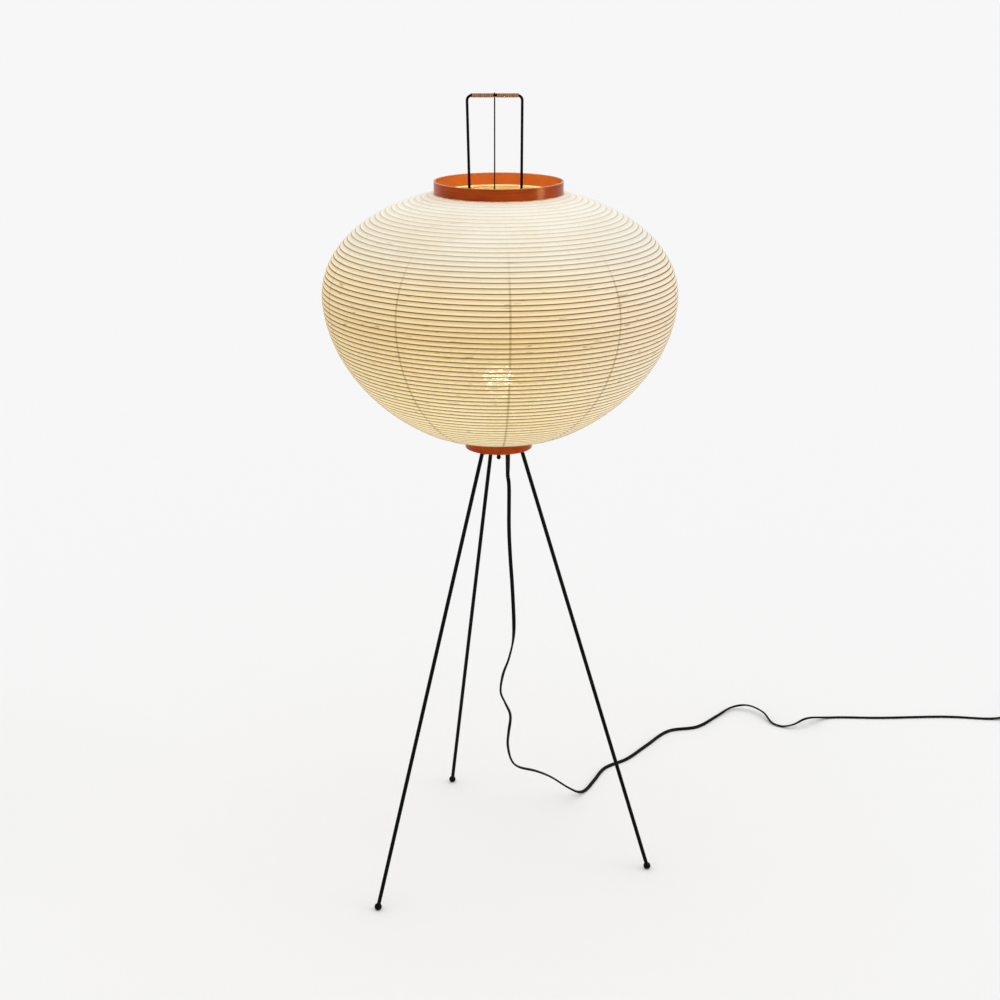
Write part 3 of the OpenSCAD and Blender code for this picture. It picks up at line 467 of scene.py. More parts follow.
        # light from the bulb falls off with the distance, its holder shades the bowl's foot,
        # and the lines hold it back
        far2 = radius * radius + (z - self.bulb_z) * (z - self.bulb_z)
        lit = 0.026 / (far2 + 0.03) * (1.0 - line * 0.8) * (1.0 - thread * 0.35)
        lit = lit * (z.rise(0.69, 0.80) * 0.6 + 0.4)
        lit = lit * (pale * 0.5 + 0.5) * (fibre * 0.3 + 0.72)
        glow = g.blend(lit, (0.0, 0.0, 0.0), (0.85, 0.56, 0.22))
        relief = fibre * 0.45 + fine * 0.35 + strand * 0.2
        clear = g.noise(g.stretched((130.0, 130.0, 330.0)), 1.0, 3.0).rise(0.42, 0.66)
        clear = clear * (1.0 - z.rise(0.86, 0.96) * 0.75)
        return g.finish(
            Base_Color=paper,
            Roughness=fine * 0.10 + 0.80,
            Alpha=1.0 - (clear * 0.18 + 0.03) * (1.0 - line),
            Emission_Color=glow,
            Emission_Strength=1.0,
            Specular_IOR_Level=0.2,
            Normal=g.bump(relief, 0.00022),
        )


@dataclass(frozen=True)
class SplitBamboo:
    """Thin strips of bamboo with nodes and long fibres."""

    name: str = "split_bamboo"

    def material(self) -> Material:
        """Builds the finish.

        Returns:
            The material.
        """
        g = Graph(self.name)
        streak = g.noise(g.stretched((14.0, 14.0, 900.0)), 1.0, 4.0)
        cloud = g.noise(g.place(), 11.0, 3.0)
        colour = g.ramp(streak * 0.6 + cloud * 0.4, [
            (0.25, (0.26, 0.17, 0.07)), (0.5, (0.42, 0.31, 0.14)), (0.75, (0.58, 0.45, 0.24)),
        ])
        return g.finish(
            Base_Color=colour,
            Roughness=streak * 0.2 + 0.42,
            Normal=g.bump(streak, 0.00008),
        )


@dataclass(frozen=True)
class TwistedThread:
    """Cotton thread with slanting ridges of twist; "run" is the length along it in metres."""

    name: str = "twisted_thread"
    base: Colour = (0.40, 0.31, 0.15)

    def material(self) -> Material:
        """Builds the finish.

        Returns:
            The material.
        """
        g = Graph(self.name)
        run = g.attribute("run")
        lay = abs((run * 620.0 + g.noise(g.place(), 30.0) * 0.8).fract() - 0.5) * 2.0
        fuzz = g.noise(g.place(), 2400.0, 3.0)
        # darker in the low grooves between the ridges: painted shade
        dark = tuple(c * 0.5 for c in self.base)
        return g.finish(
            Base_Color=g.blend(lay * 0.6 + fuzz * 0.3, dark, self.base),
            Roughness=0.9,
            Normal=g.bump(lay * 0.7 + fuzz * 0.3, 0.00018),
        )


@dataclass(frozen=True)
class CaneSkin:
    """Brown cane skin with lengthwise fibres; "run" is the length along it in metres."""

    name: str = "cane_skin"

    def material(self) -> Material:
        """Builds the finish.

        Returns:
            The material.
        """
        g = Graph(self.name)
        run, across = g.attribute("run"), g.attribute("across")
        fibre = g.noise(g.vector(run * 60.0, across * 9.0, 0.0), 1.0, 4.0, 0.65)
        cloud = g.noise(g.vector(run * 28.0, 0.0, 4.0), 1.0, 3.0)
        colour = g.ramp(fibre * 0.55 + cloud * 0.45, [
            (0.28, (0.105, 0.040, 0.020)), (0.45, (0.26, 0.105, 0.050)),
            (0.60, (0.44, 0.200, 0.100)), (0.80, (0.60, 0.33, 0.19)),
        ])
        edge = abs(across - 0.5).rise(0.36, 0.5)
        colour = g.blend(edge * 0.6, colour, (0.10, 0.045, 0.022))
        return g.finish(
            Base_Color=colour,
            Roughness=fibre * 0.22 + 0.30,
            Coat_Weight=0.2,
            Normal=g.bump(fibre, 0.00012),
        )


@dataclass(frozen=True)
class FlexJacket:
    """Black jacket of the flat flex, with faint draw marks; "across" goes round its section."""

    name: str = "flex_jacket"
    base: Colour = (0.0035, 0.0033, 0.0033)

    def material(self) -> Material:
        """Builds the finish.

        Returns:
            The material.
        """
        g = Graph(self.name)
        run, across = g.attribute("run"), g.attribute("across")
        draw = g.noise(g.vector(run * 14.0, across * 60.0, 0.0), 1.0, 3.0)
        dust = g.noise(g.place(), 260.0, 5.0).rise(0.55, 0.80)
        return g.finish(
            Base_Color=g.blend(dust * 0.25, self.base, (0.025, 0.024, 0.023)),
            Roughness=draw * 0.16 + dust * 0.12 + 0.36,
            Specular_IOR_Level=0.05,
            Normal=g.bump(draw, 0.00004),
        )


@dataclass(frozen=True)
class MouldedPlastic:
    """Moulded plastic with a fine spark-eroded texture."""

    name: str
    base: Colour
    rough: float = 0.5
    relief: float = 0.00006
    shine: float = 0.5

    def material(self) -> Material:
        """Builds the finish.

        Returns:
            The material.
        """
        g = Graph(self.name)
        grain = g.noise(g.place(), 1800.0, 3.0)
        cloud = g.noise(g.place(), 45.0, 3.0)
        lighter = tuple(min(1.0, c * 1.5 + 0.002) for c in self.base)
        return g.finish(
            Base_Color=g.blend(cloud.rise(0.4, 0.8) * 0.4, self.base, lighter),
            Roughness=cloud * 0.14 + grain * 0.06 + (self.rough - 0.10),
            Specular_IOR_Level=self.shine,
            Normal=g.bump(grain, self.relief),
        )


@dataclass(frozen=True)
class LitOpalGlass:
    """Opal bulb glass that glows warm white, strongest round its waist."""

    name: str = "lit_opal_glass"
    strength: float = 32.0
    waist_z: float = 0.806

    def material(self) -> Material:
        """Builds the finish.

        Returns:
            The material.
        """
        g = Graph(self.name)
        z = g.axes()[2]
        waist = 1.0 - abs(z - self.waist_z).rise(0.005, 0.017)
        colour = g.blend(waist, (0.28, 0.18, 0.08), (1.0, 0.93, 0.78))
        swirl = g.noise(g.place(), 70.0, 2.0)
        return g.finish(
            Base_Color=(0.95, 0.92, 0.85),
            Roughness=swirl * 0.1 + 0.18,
            Emission_Color=colour,
            Emission_Strength=self.strength,
        )


# ---------------------------------------------------------------- mesh making


def unit(v: np.ndarray) -> np.ndarray:
    """Each row of v divided by its own length."""
    return v / np.maximum(np.linalg.norm(v, axis=-1, keepdims=True), 1e-12)


def round_turns(count: int) -> np.ndarray:
    """That many equal turns round a circle, from 0, in radians."""
    return np.arange(count) * 2 * np.pi / count


def smooth_route(points: np.ndarray, steps: int) -> np.ndarray:
    """The uniform Catmull-Rom curve through the points, its ends mirrored.

    Between b and c, with neighbours a and d, the point at t is
    (2b + (c-a)t + (2a-5b+4c-d)t^2 + (3b-a-3c+d)t^3) / 2.

    Args:
        points: (n, 3) points that the curve passes.
        steps: number of pieces between each two points.

    Returns:
        ((n-1)*steps+1, 3) points.
    """
    p = np.vstack([2 * points[0] - points[1], points, 2 * points[-1] - points[-2]])
    a, b, c, d = p[:-3, None], p[1:-2, None], p[2:-1, None], p[3:, None]
    t = (np.arange(steps) / steps)[None, :, None]
    curve = 0.5 * (
        2 * b + (c - a) * t + (2 * a - 5 * b + 4 * c - d) * t**2 + (3 * b - a - 3 * c + d) * t**3
    )
    return np.vstack([curve.reshape(-1, 3), points[-1]])


def along(path: np.ndarray) -> np.ndarray:
    """The running length of a path at each of its points."""
    return np.concatenate([[0.0], np.cumsum(np.linalg.norm(np.diff(path, axis=0), axis=1))])


def even_route(path: np.ndarray, spacing: float) -> np.ndarray:
    """The path again with points every spacing metres, by linear interpolation on its length.

    Args:
        path: (n, 3) points.
        spacing: the distance between new points.

    Returns:
        (m, 3) points.
    """
    run = along(path)
    count = max(2, int(round(run[-1] / spacing)) + 1)
    at = np.linspace(0.0, run[-1], count)
    return np.stack([np.interp(at, run, path[:, k]) for k in range(3)], axis=1)


def headings(path: np.ndarray) -> np.ndarray:
    """Unit directions of a path, from the point before to the point after."""
    return unit(np.vstack([path[1] - path[0], path[2:] - path[:-2], path[-1] - path[-2]]))


def mesh_piece(
    name: str,
    points: np.ndarray,
    quads: np.ndarray,
    material: Material,
    attributes: Optional[Dict[str, np.ndarray]] = None,
    fans: Sequence[Sequence[int]] = (),
) -> Piece:
    """Puts points and faces into a smooth-shaded mesh object at the origin.

    Args:
        name: the piece's name.
        points: (n, 3) places in metres.
        quads: (m, 4) corner numbers, counter-clockwise seen from outside.
        material: its finish.
        attributes: numbers per point, by name.
        fans: extra faces, such as end caps.

    Returns:
        The object.
    """
    mesh = bpy.data.meshes.new(name)
    mesh.from_pydata(points.tolist(), [], quads.tolist() + [list(f) for f in fans])
    mesh.polygons.foreach_set("use_smooth", [len(p.vertices) == 4 for p in mesh.polygons])
    for key, values in (attributes or {}).items():
        layer = mesh.attributes.new(key, "FLOAT", "POINT")
        layer.data.foreach_set("value", np.asarray(values, np.float32).ravel())
    mesh.materials.append(material)
    mesh.update()
    made = bpy.data.objects.new(name, mesh)
    bpy.context.scene.collection.objects.link(made)
    return made


def grid_quads(rows: int, columns: int, closed_rows: bool) -> np.ndarray:
    """Corner numbers of a grid whose columns close on themselves.

    Point (i, j) has the number i*columns + j, and the face between rows i and i+1
    and columns j and j+1 runs (i,j), (i,j+1), (i+1,j+1), (i+1,j).

    Args:
        rows: rows of points.
        columns: points in a row.
        closed_rows: whether the last row joins the first.

    Returns:
        (n, 4) corner numbers.
    """
    i = np.arange(rows if closed_rows else rows - 1)[:, None]
    j = np.arange(columns)[None, :]
    i1, j1 = (i + 1) % rows, (j + 1) % columns
    face = [i * columns + j, i * columns + j1, i1 * columns + j1, i1 * columns + j]
    return np.stack(np.broadcast_arrays(*face), axis=-1).reshape(-1, 4)


@dataclass
class Sweep:
    """A closed tube: a flat section carried along a path.

    The point at row i and column j is path_i + side_i * x_j + up_i * y_j, where up is
    heading x side, so the section keeps its wide side along side.
    """

    path: np.ndarray
    side: np.ndarray
    section: np.ndarray

    def points(self) -> np.ndarray:
        """The tube's points, row by row.

        Returns:
            (rows, columns, 3) points.
        """
        heading = headings(self.path)
        side = unit(self.side - heading * np.sum(self.side * heading, axis=1, keepdims=True))
        up = np.cross(heading, side)
        x, y = self.section[:, 0], self.section[:, 1]
        across, over = side[:, None] * x[None, :, None], up[:, None] * y[None, :, None]
        return self.path[:, None] + across + over

    def piece(self, name: str, material: Material) -> Piece:
        """Builds the tube as one piece that keeps "run" and "across" for its finish.

        Args:
            name: the piece's name.
            material: its finish.

        Returns:
            The piece.
        """
        grid = self.points()
        rows, columns = grid.shape[:2]
        run = np.repeat(along(self.path), columns)
        across = np.tile(np.arange(columns) / columns, rows)
        last = (rows - 1) * columns
        caps = [list(range(columns))[::-1], [last + j for j in range(columns)]]
        return mesh_piece(
            name, grid.reshape(-1, 3), grid_quads(rows, columns, False), material,
            {"run": run, "across": across}, caps,
        )


def oval(width: float, height: float, count: int, power: float = 2.0) -> np.ndarray:
    """A superellipse: x = w/2 |cos|^(2/p), y = h/2 |sin|^(2/p), each with its sign.

    Args:
        width: its size along x.
        height: its size along y.
        count: number of points.
        power: 2 for an ellipse, more for a squarer form.

    Returns:
        (count, 2) points.
    """
    t = round_turns(count)
    c, s = np.cos(t), np.sin(t)
    return np.stack([
        width / 2 * np.sign(c) * np.abs(c) ** (2 / power),
        height / 2 * np.sign(s) * np.abs(s) ** (2 / power),
    ], axis=1)


def twin_flex(width: float, height: float, count: int) -> np.ndarray:
    """The section of a twin flex: an oval whose flat sides sink in a groove at the middle.

    Args:
        width: its size along x.
        height: its size along y.
        count: number of points.

    Returns:
        (count, 2) points.
    """
    t = round_turns(count)
    dip = 1 - 0.20 * np.exp(-((np.cos(t) / 0.24) ** 2))
    edge = oval(width, height, count, 2.5)
    return np.stack([edge[:, 0], edge[:, 1] * dip], axis=1)


def joined(parts: Sequence[Tuple[np.ndarray, np.ndarray]]) -> Tuple[np.ndarray, np.ndarray]:
    """Several (points, quads) pairs as one, with the corner numbers moved on.

    Args:
        parts: the pairs.

    Returns:
        All points and all quads.
    """
    start, points, quads = 0, [], []
    for p, q in parts:
        points.append(p)
        quads.append(q + start)
        start += len(p)
    return np.vstack(points), np.vstack(quads)


# --------------------------------------------------------------------- pieces


def built(finish: Any) -> Any:
    """A dataclass field that builds a finish's material together with its owner.

    Args:
        finish: one of the finishes above.

    Returns:
        The field.
    """
    return field(default_factory=finish.material)


@dataclass
class Wardrobe:
    """Every finish, built once and in this order."""

    black: Material = built(BlackPaint())
    zinc: Material = built(
        PlatedMetal("zinc_plate", (0.55, 0.56, 0.58), (0.36, 0.36, 0.37), 0.36))
    brass: Material = built(
        PlatedMetal("plain_brass", (0.72, 0.52, 0.22), (0.45, 0.30, 0.12), 0.30))
    top_wood: Material = built(VarnishedBentwood(
        "orange_bentwood_top", deep=(0.215, 0.021, 0.0004), bright=(0.420, 0.062, 0.0012),
        rim_z=1.0970, foot_z=1.0793, wall_r=0.0933))
    bottom_wood: Material = built(VarnishedBentwood(
        "orange_bentwood_bottom", deep=(0.250, 0.022, 0.0004), bright=(0.500, 0.072, 0.0012),
        rim_z=0.7070, foot_z=0.6935, wall_r=0.0490))
    paper: Material = built(LanternPaper())
    bamboo: Material = built(SplitBamboo())
    thread: Material = built(TwistedThread())
    cane: Material = built(CaneSkin())
    flex: Material = built(FlexJacket())
    plastic: Material = built(
        MouldedPlastic("black_plastic", (0.005, 0.005, 0.005), 0.46, shine=0.12))
    button: Material = built(
        MouldedPlastic("button_plastic", (0.016, 0.016, 0.017), 0.38, shine=0.2))
    tie: Material = built(MouldedPlastic("tie_plastic", (0.012, 0.012, 0.012), 0.55, shine=0.2))
    ceramic: Material = built(
        MouldedPlastic("ceramic_white", (0.80, 0.78, 0.72), 0.30, relief=0.00002))
    blue_core: Material = built(MouldedPlastic("blue_core", (0.03, 0.09, 0.35), 0.40))
    brown_core: Material = built(MouldedPlastic("brown_core", (0.16, 0.065, 0.025), 0.40))
    glass: Material = built(LitOpalGlass())


def dress(frame: Dict[str, Any], material: Material, *nodes: str) -> None:
    """Gives CAD nodes a finish in place of their plain one.

    Args:
        frame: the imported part.
        material: the finish.
        nodes: names of CAD nodes.
    """
    for name in nodes:
        slots = frame["nodes"][name].data.materials
        slots.clear()
        slots.append(material)
        log.info("%s: dressed in %s", name, material.name)


def stand_in(piece: Piece, node: str) -> None:
    """Puts a piece on the lamp's body in place of a CAD node.

    Args:
        piece: the finer form.
        node: the CAD node that it replaces.
    """
    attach(piece, LAMP_BODY)
    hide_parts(node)
    log.info("%s: %d faces", piece.name, len(piece.data.polygons))


@dataclass
class PaperShade:
    """The lantern's skin on its hoops and threads.

    The side view is two quarter superellipses that meet at the waist: r = R cos(t)^(2/p) and
    z = waist +- h sin(t)^(2/p). The bowl's foot is drawn up to the ring by a smooth step in r.
    Hoop k lies at the length
    s = S (u - A/2pi (sin 2pi(u-c) + sin 2pi c)) down it, with u = k/n.
    """

    radius: float = 0.265
    waist: float = 0.929
    crown: float = 0.160
    bowl: float = 0.2315
    crown_power: float = 2.05
    bowl_power: float = 1.86
    top_radius: float = 0.0954
    foot_radius: float = 0.0516
    foot_lift: float = 0.0035
    foot_lift_span: Tuple[float, float] = (0.072, 0.122)
    side_steps: int = 400
    bands: int = 68
    crowding: float = 0.13
    crowd_at: float = 0.47
    valley: float = 0.0010
    paper: float = 0.0005
    columns: int = 224
    outer_rows: int = 4
    inner_rows: int = 2
    first_turn: float = 1e-4
    hoop_width: float = 0.0012
    hoop_gap: float = 0.0003
    hoop_steps: int = 144
    hoop_sides: int = 5
    threads: int = 10
    thread_turn: float = 3.5
    thread_width: float = 0.0010
    thread_margin: float = 0.008
    thread_rows: int = 150
    thread_sides: int = 6
    belly_lean: float = 0.0021
    fold_keep: float = 0.4355
    wander_size: float = 0.00028
    wander_waves: Tuple[float, float, float] = (1.0, 2.0, 5.0)
    wander_shares: Tuple[float, float, float] = (1.0, 0.8, 0.45)
    seed: int = 11

    def __post_init__(self) -> None:
        """Tabulates the side view by its length, and draws each hoop's small wander."""
        top = math.acos((self.top_radius / self.radius) ** (self.crown_power / 2))
        foot = math.acos((self.foot_radius / self.radius) ** (self.bowl_power / 2))
        up = np.linspace(top, 0.0, self.side_steps)
        down = np.linspace(0.0, foot, self.side_steps)[1:]
        self.side_r = self.radius * np.concatenate(
            [np.cos(up) ** (2 / self.crown_power), np.cos(down) ** (2 / self.bowl_power)])
        self.side_z = self.waist + np.concatenate([
            self.crown * np.sin(up) ** (2 / self.crown_power),
            -self.bowl * np.sin(down) ** (2 / self.bowl_power)])
        near, far = self.foot_lift_span
        rise = np.clip((far - self.side_r) / (far - near), 0, 1)
        lift = self.foot_lift * rise**2 * (3 - 2 * rise)
        self.side_z += np.where(self.side_z < self.waist, lift, 0)
        self.run = along(np.stack([self.side_r, self.side_z], axis=1))
        draw = np.random.default_rng(self.seed)
        shape = (self.bands + 1, len(self.wander_waves))
        self.wander = draw.normal(0.0, self.wander_size, shape)
        self.phase = draw.uniform(0.0, 2 * np.pi, shape)
        self.wander[[0, -1]] = 0.0

    def length_at(self, band: np.ndarray) -> np.ndarray:
        """Length down the side view at a count of bands.

        Args:
            band: counts of bands from the top, which may be fractions.

        Returns:
            The lengths in metres.
        """
        u = band / self.bands
        c = 2 * np.pi * self.crowd_at
        bunch = np.sin(2 * np.pi * u - c) + np.sin(c)
        return self.run[-1] * (u - self.crowding / (2 * np.pi) * bunch)

    def side_point(self, s: np.ndarray) -> np.ndarray:
        """(r, z) of the side view at the length s."""
        spots = [np.interp(s, self.run, self.side_r), np.interp(s, self.run, self.side_z)]
        return np.stack(spots, axis=-1)

    def on_side(self, s: np.ndarray, depth: np.ndarray) -> np.ndarray:
        """The side view moved inwards along its normal.

        Args:
            s: lengths down the side view.
            depth: how far under it, for each length.

        Returns:
            (r, z) for each length.
        """
        step = 0.001
        low, high = np.clip(s - step, 0, self.run[-1]), np.clip(s + step, 0, self.run[-1])
        way = unit(self.side_point(high) - self.side_point(low))
        normal = np.stack([-way[..., 1], way[..., 0]], axis=-1)
        return self.side_point(s) - normal * depth[..., None]

    def lean(self, s: np.ndarray) -> np.ndarray:
        """How far the belly stands towards +X at the length s."""
        return self.belly_lean * np.sin(np.pi * s / self.run[-1]) ** 2

    def drift(self, band: np.ndarray, turn: np.ndarray) -> np.ndarray:
        """How far the hoops wander along the skin: three slow waves round each.

        Args:
            band: counts of bands; between two hoops their waves are shared out.
            turn: angles round the axis.

        Returns:
            The wander in metres.
        """
        low = np.clip(np.floor(band).astype(int), 0, self.bands)
        high = np.clip(low + 1, 0, self.bands)
        share = band - low

        def wave(k: np.ndarray) -> np.ndarray:
            """The wander of hoop k at each turn."""
            waves = np.sin(np.array(self.wander_waves) * turn[..., None] + self.phase[k])
            return np.sum(self.wander[k] * np.array(self.wander_shares) * waves, axis=-1)

        return wave(low) * (1 - share) + wave(high) * share

    def surface(self, band: np.ndarray, turn: np.ndarray, depth: np.ndarray) -> np.ndarray:
        """Points of the shade: (r cos, r sin, z) under the wandering hoops.

        Args:
            band: n counts of bands.
            turn: m angles round the axis.
            depth: n depths under the side view.

        Returns:
            (n, m, 3) points.
        """
        b, t = np.broadcast_arrays(band[:, None], turn[None, :])
        s = self.length_at(b) + self.drift(b, t)
        side = self.on_side(s, np.broadcast_to(depth[:, None], b.shape))
        r, z = side[..., 0], side[..., 1]
        return np.stack([r * np.cos(t) + self.lean(s), r * np.sin(t), z], axis=-1)

    def sag(self, band: np.ndarray) -> np.ndarray:
        """Depth of the paper between hoops: full at the middle, a sharp ridge over each hoop."""
        return self.valley * (1 - np.abs(2 * (band % 1.0) - 1) ** 1.5)

    def skin(self, material: Material) -> Piece:
        """The paper as a closed thin wall: outside four rows a band, and inside two.

        Args:
            material: its finish.

        Returns:
            The piece.
        """
        outer = np.arange(self.bands * self.outer_rows + 1) / self.outer_rows
        inner = np.arange(self.bands * self.inner_rows, -1, -1) / self.inner_rows
        band = np.concatenate([outer, inner])
        depth = np.concatenate([self.sag(outer), self.sag(inner) + self.paper])
        turn = -round_turns(self.columns) + self.first_turn
        points = self.surface(band, turn, depth)
        return mesh_piece(
            "paper_skin", points.reshape(-1, 3), grid_quads(len(band), self.columns, True),
            material, {"band": np.repeat(band, self.columns)})

    def hoops(self, material: Material) -> Piece:
        """The bamboo hoops: small rings of five sides carried round under the ridges.

        Args:
            material: their finish.

        Returns:
            The piece.
        """
        turn, ring = -round_turns(self.hoop_steps), round_turns(self.hoop_sides)
        r = self.hoop_width / 2
        depth = np.array([self.paper + self.hoop_gap + r])
        out = np.stack([np.cos(turn), np.sin(turn), np.zeros(self.hoop_steps)], axis=1)
        up = np.array([0, 0, 1.0])
        parts = []
        for k in range(1, self.bands):
            middle = self.surface(np.array([float(k)]), turn, depth)[0]
            points = middle[None] + out[None] * (r * np.cos(ring))[:, None, None]
            points = points + up * (r * np.sin(ring))[:, None, None]
            quads = grid_quads(self.hoop_sides, self.hoop_steps, True)
            parts.append((points.reshape(-1, 3), quads))
        points, quads = joined(parts)
        return mesh_piece("bamboo_hoops", points, quads[:, ::-1], material)

    def thread_lines(self, material: Material) -> Piece:
        """The lengthwise threads, just inside the hoops.

        Args:
            material: their finish.

        Returns:
            The piece.
        """
        depth = self.paper + self.hoop_width + 2 * self.hoop_gap + self.thread_width / 2
        s = np.linspace(self.thread_margin, self.run[-1] - self.thread_margin, self.thread_rows)
        side = self.on_side(s, np.full(len(s), depth))
        section = oval(self.thread_width, self.thread_width, self.thread_sides)
        parts, runs = [], []
        for i in range(self.threads):
            a = math.radians(self.thread_turn - 90 + 360 * i / self.threads)
            path = np.stack([
                side[:, 0] * np.cos(a) + self.lean(s), side[:, 0] * np.sin(a), side[:, 1]], axis=1)
            across = np.tile([-math.sin(a), math.cos(a), 0.0], (len(s), 1))
            grid = Sweep(path, across, section).points()
            parts.append((grid.reshape(-1, 3), grid_quads(len(s), self.thread_sides, False)))
            runs.append(np.repeat(s, self.thread_sides))
        points, quads = joined(parts)
        ring, size = list(range(self.thread_sides)), self.thread_rows * self.thread_sides
        starts = [i * size for i in range(self.threads)]
        ends = [start + size - self.thread_sides for start in starts]
        caps = [[start + j for j in ring[::-1]] for start in starts]
        caps += [[end + j for j in ring] for end in ends]
        run = {"run": np.concatenate(runs)}
        return mesh_piece("thread_lines", points, quads, material, run, caps)

    def build(self, finishes: Wardrobe) -> None:
        """Builds the shade's skin, hoops and threads in place of their CAD nodes.

        Args:
            finishes: every finish.
        """
        for piece, node, slot in (
            (self.skin(finishes.paper), "paper_shade", "paper"),
            (self.hoops(finishes.bamboo), "bamboo_ribs", "bamboo"),
            (self.thread_lines(finishes.thread), "rib_threads", "thread"),
        ):
            stand_in(piece, node)
            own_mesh(piece)


@dataclass
class LanternFrame:
    """The bail with its cane grip, the tension wire, and both rings with their straps."""

    bar_z: float = 1.219
    wire_radius: float = 0.002
    cane_width: float = 0.0026
    cane_thick: float = 0.0010
    cane_gap: float = 0.0001
    cane_pitch: float = 0.00312
    cane_turns: int = 10
    cane_starts: Tuple[float, float] = (-0.0395, -0.0033)
    cane_steps: int = 48
    cane_sides: int = 16
    lead_steps: int = 5

    def cane(self, name: str, start: float, material: Material) -> Piece:
        """One strip of cane: a helix round the bar whose two ends run off straight.

        The middle of the strip is (x0 + pitch n, r sin 2pi n, bar + r cos 2pi n) after n turns.

        Args:
            name: the piece's name.
            start: x of the first turn.
            material: its finish.

        Returns:
            The piece.
        """
        n = np.arange(self.cane_turns * self.cane_steps + 1) / self.cane_steps
        a = 2 * np.pi * n
        r = self.wire_radius + self.cane_gap + self.cane_thick / 2
        wound = np.stack([
            start + self.cane_pitch * n, r * np.sin(a), self.bar_z + r * np.cos(a)], axis=1)
        tail = np.array([0.0, self.cane_width * 0.8, 0.0])
        lead = np.linspace(1, 0.15, self.lead_steps)[:, None] * tail
        path = np.vstack([wound[0] - lead, wound, wound[-1] + lead[::-1]])
        bar = [path[:, 0], np.zeros(len(path)), np.full(len(path), self.bar_z)]
        out = path - np.stack(bar, axis=1)
        out[:self.lead_steps] = out[-self.lead_steps:] = [0.0, 0.0, 1.0]
        side = np.cross(out, headings(path))
        t = round_turns(self.cane_sides)
        dome = oval(self.cane_width, self.cane_thick * 0.84, self.cane_sides, 4.0)
        dome[:, 1] += 0.00002 + 0.00008 * np.cos(t) ** 2 * np.sign(np.sin(t))
        return Sweep(path, side, dome).piece(name, material)

    def build(self, frame: Dict[str, Any], finishes: Wardrobe) -> None:
        """Builds the cane grip and dresses the metal and wood.

        Args:
            frame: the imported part.
            finishes: every finish.
        """
        for side, start in zip(("left", "right"), self.cane_starts):
            piece = self.cane(f"cane_grip_{side}", start, finishes.cane)
            stand_in(piece, f"cane_wrap_{side}")
        dress(frame, finishes.black, "bail_frame", "bail_sockets", "tension_wire")
        dress(frame, finishes.top_wood, "top_ring")
        dress(frame, finishes.bottom_wood, "bottom_ring")
        straps = ("top_strap", "top_strap_screws", "bottom_strap", "bottom_strap_screws")
        dress(frame, finishes.zinc, *straps)


@dataclass
class Stand:
    """The tripod: rods, ball feet, sockets and hub."""

    places: Tuple[str, str, str] = ("front_left", "front_right", "back")

    def build(self, frame: Dict[str, Any], finishes: Wardrobe) -> None:
        """Dresses the stand's solids.

        Args:
            frame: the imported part.
            finishes: every finish.
        """
        for kind in ("leg", "foot", "leg_socket"):
            dress(frame, finishes.black, *(f"{kind}_{place}" for place in self.places))
        dress(frame, finishes.black, "hub_plate", "centre_bolt", "centre_nut")
        dress(frame, finishes.zinc, "leg_grub_screws")
        dress(frame, finishes.plastic, "cord_bushing")


@dataclass
class LampHolder:
    """What holds the bulb, its leads, and the bulb."""

    lead_width: float = 0.0022
    core_gap: float = 0.0013
    bushing_top: float = 0.703
    lead_top: float = 0.730

    def leads(self, name: str, off: float, material: Material) -> Piece:
        """One core from the bushing round into the nipple.

        Args:
            name: the piece's name.
            off: how far the core lies off the pair's middle, along Y.
            material: its finish.

        Returns:
            The piece.
        """
        start = self.bushing_top
        points = np.array([
            [0.014, 0.004 + off, start], [0.014, 0.004 + off, start + 0.003],
            [0.011, 0.0032 + off, start + 0.006], [0.0045, 0.0012 + off, start + 0.0085],
            [0.0008, off, start + 0.011], [0.0, off, start + 0.014], [0.0, off, self.lead_top]])
        path = even_route(smooth_route(points, 10), 0.0008)
        side = np.cross(np.tile([0.0, 1.0, 0.0], (len(path), 1)), headings(path))
        return Sweep(path, side, oval(self.lead_width, self.lead_width, 12)).piece(name, material)

    def build(self, frame: Dict[str, Any], finishes: Wardrobe) -> None:
        """Builds the leads and dresses the holder and bulb.

        Args:
            frame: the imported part.
            finishes: every finish.
        """
        for name, off, material in (
            ("lead_blue", -self.core_gap, finishes.blue_core),
            ("lead_brown", self.core_gap, finishes.brown_core),
        ):
            stand_in(self.leads(name, off, material), "inner_leads")
        dress(frame, finishes.zinc, "holder_bracket", "holder_nut", "bulb_cap")
        contacts = ("holder_nipple", "contact_sleeve", "centre_contact", "bulb_tip")
        dress(frame, finishes.brass, *contacts)
        dress(frame, finishes.plastic, "holder_base", "holder_shell")
        dress(frame, finishes.ceramic, "holder_insert")
        dress(frame, finishes.glass, "bulb_glass")


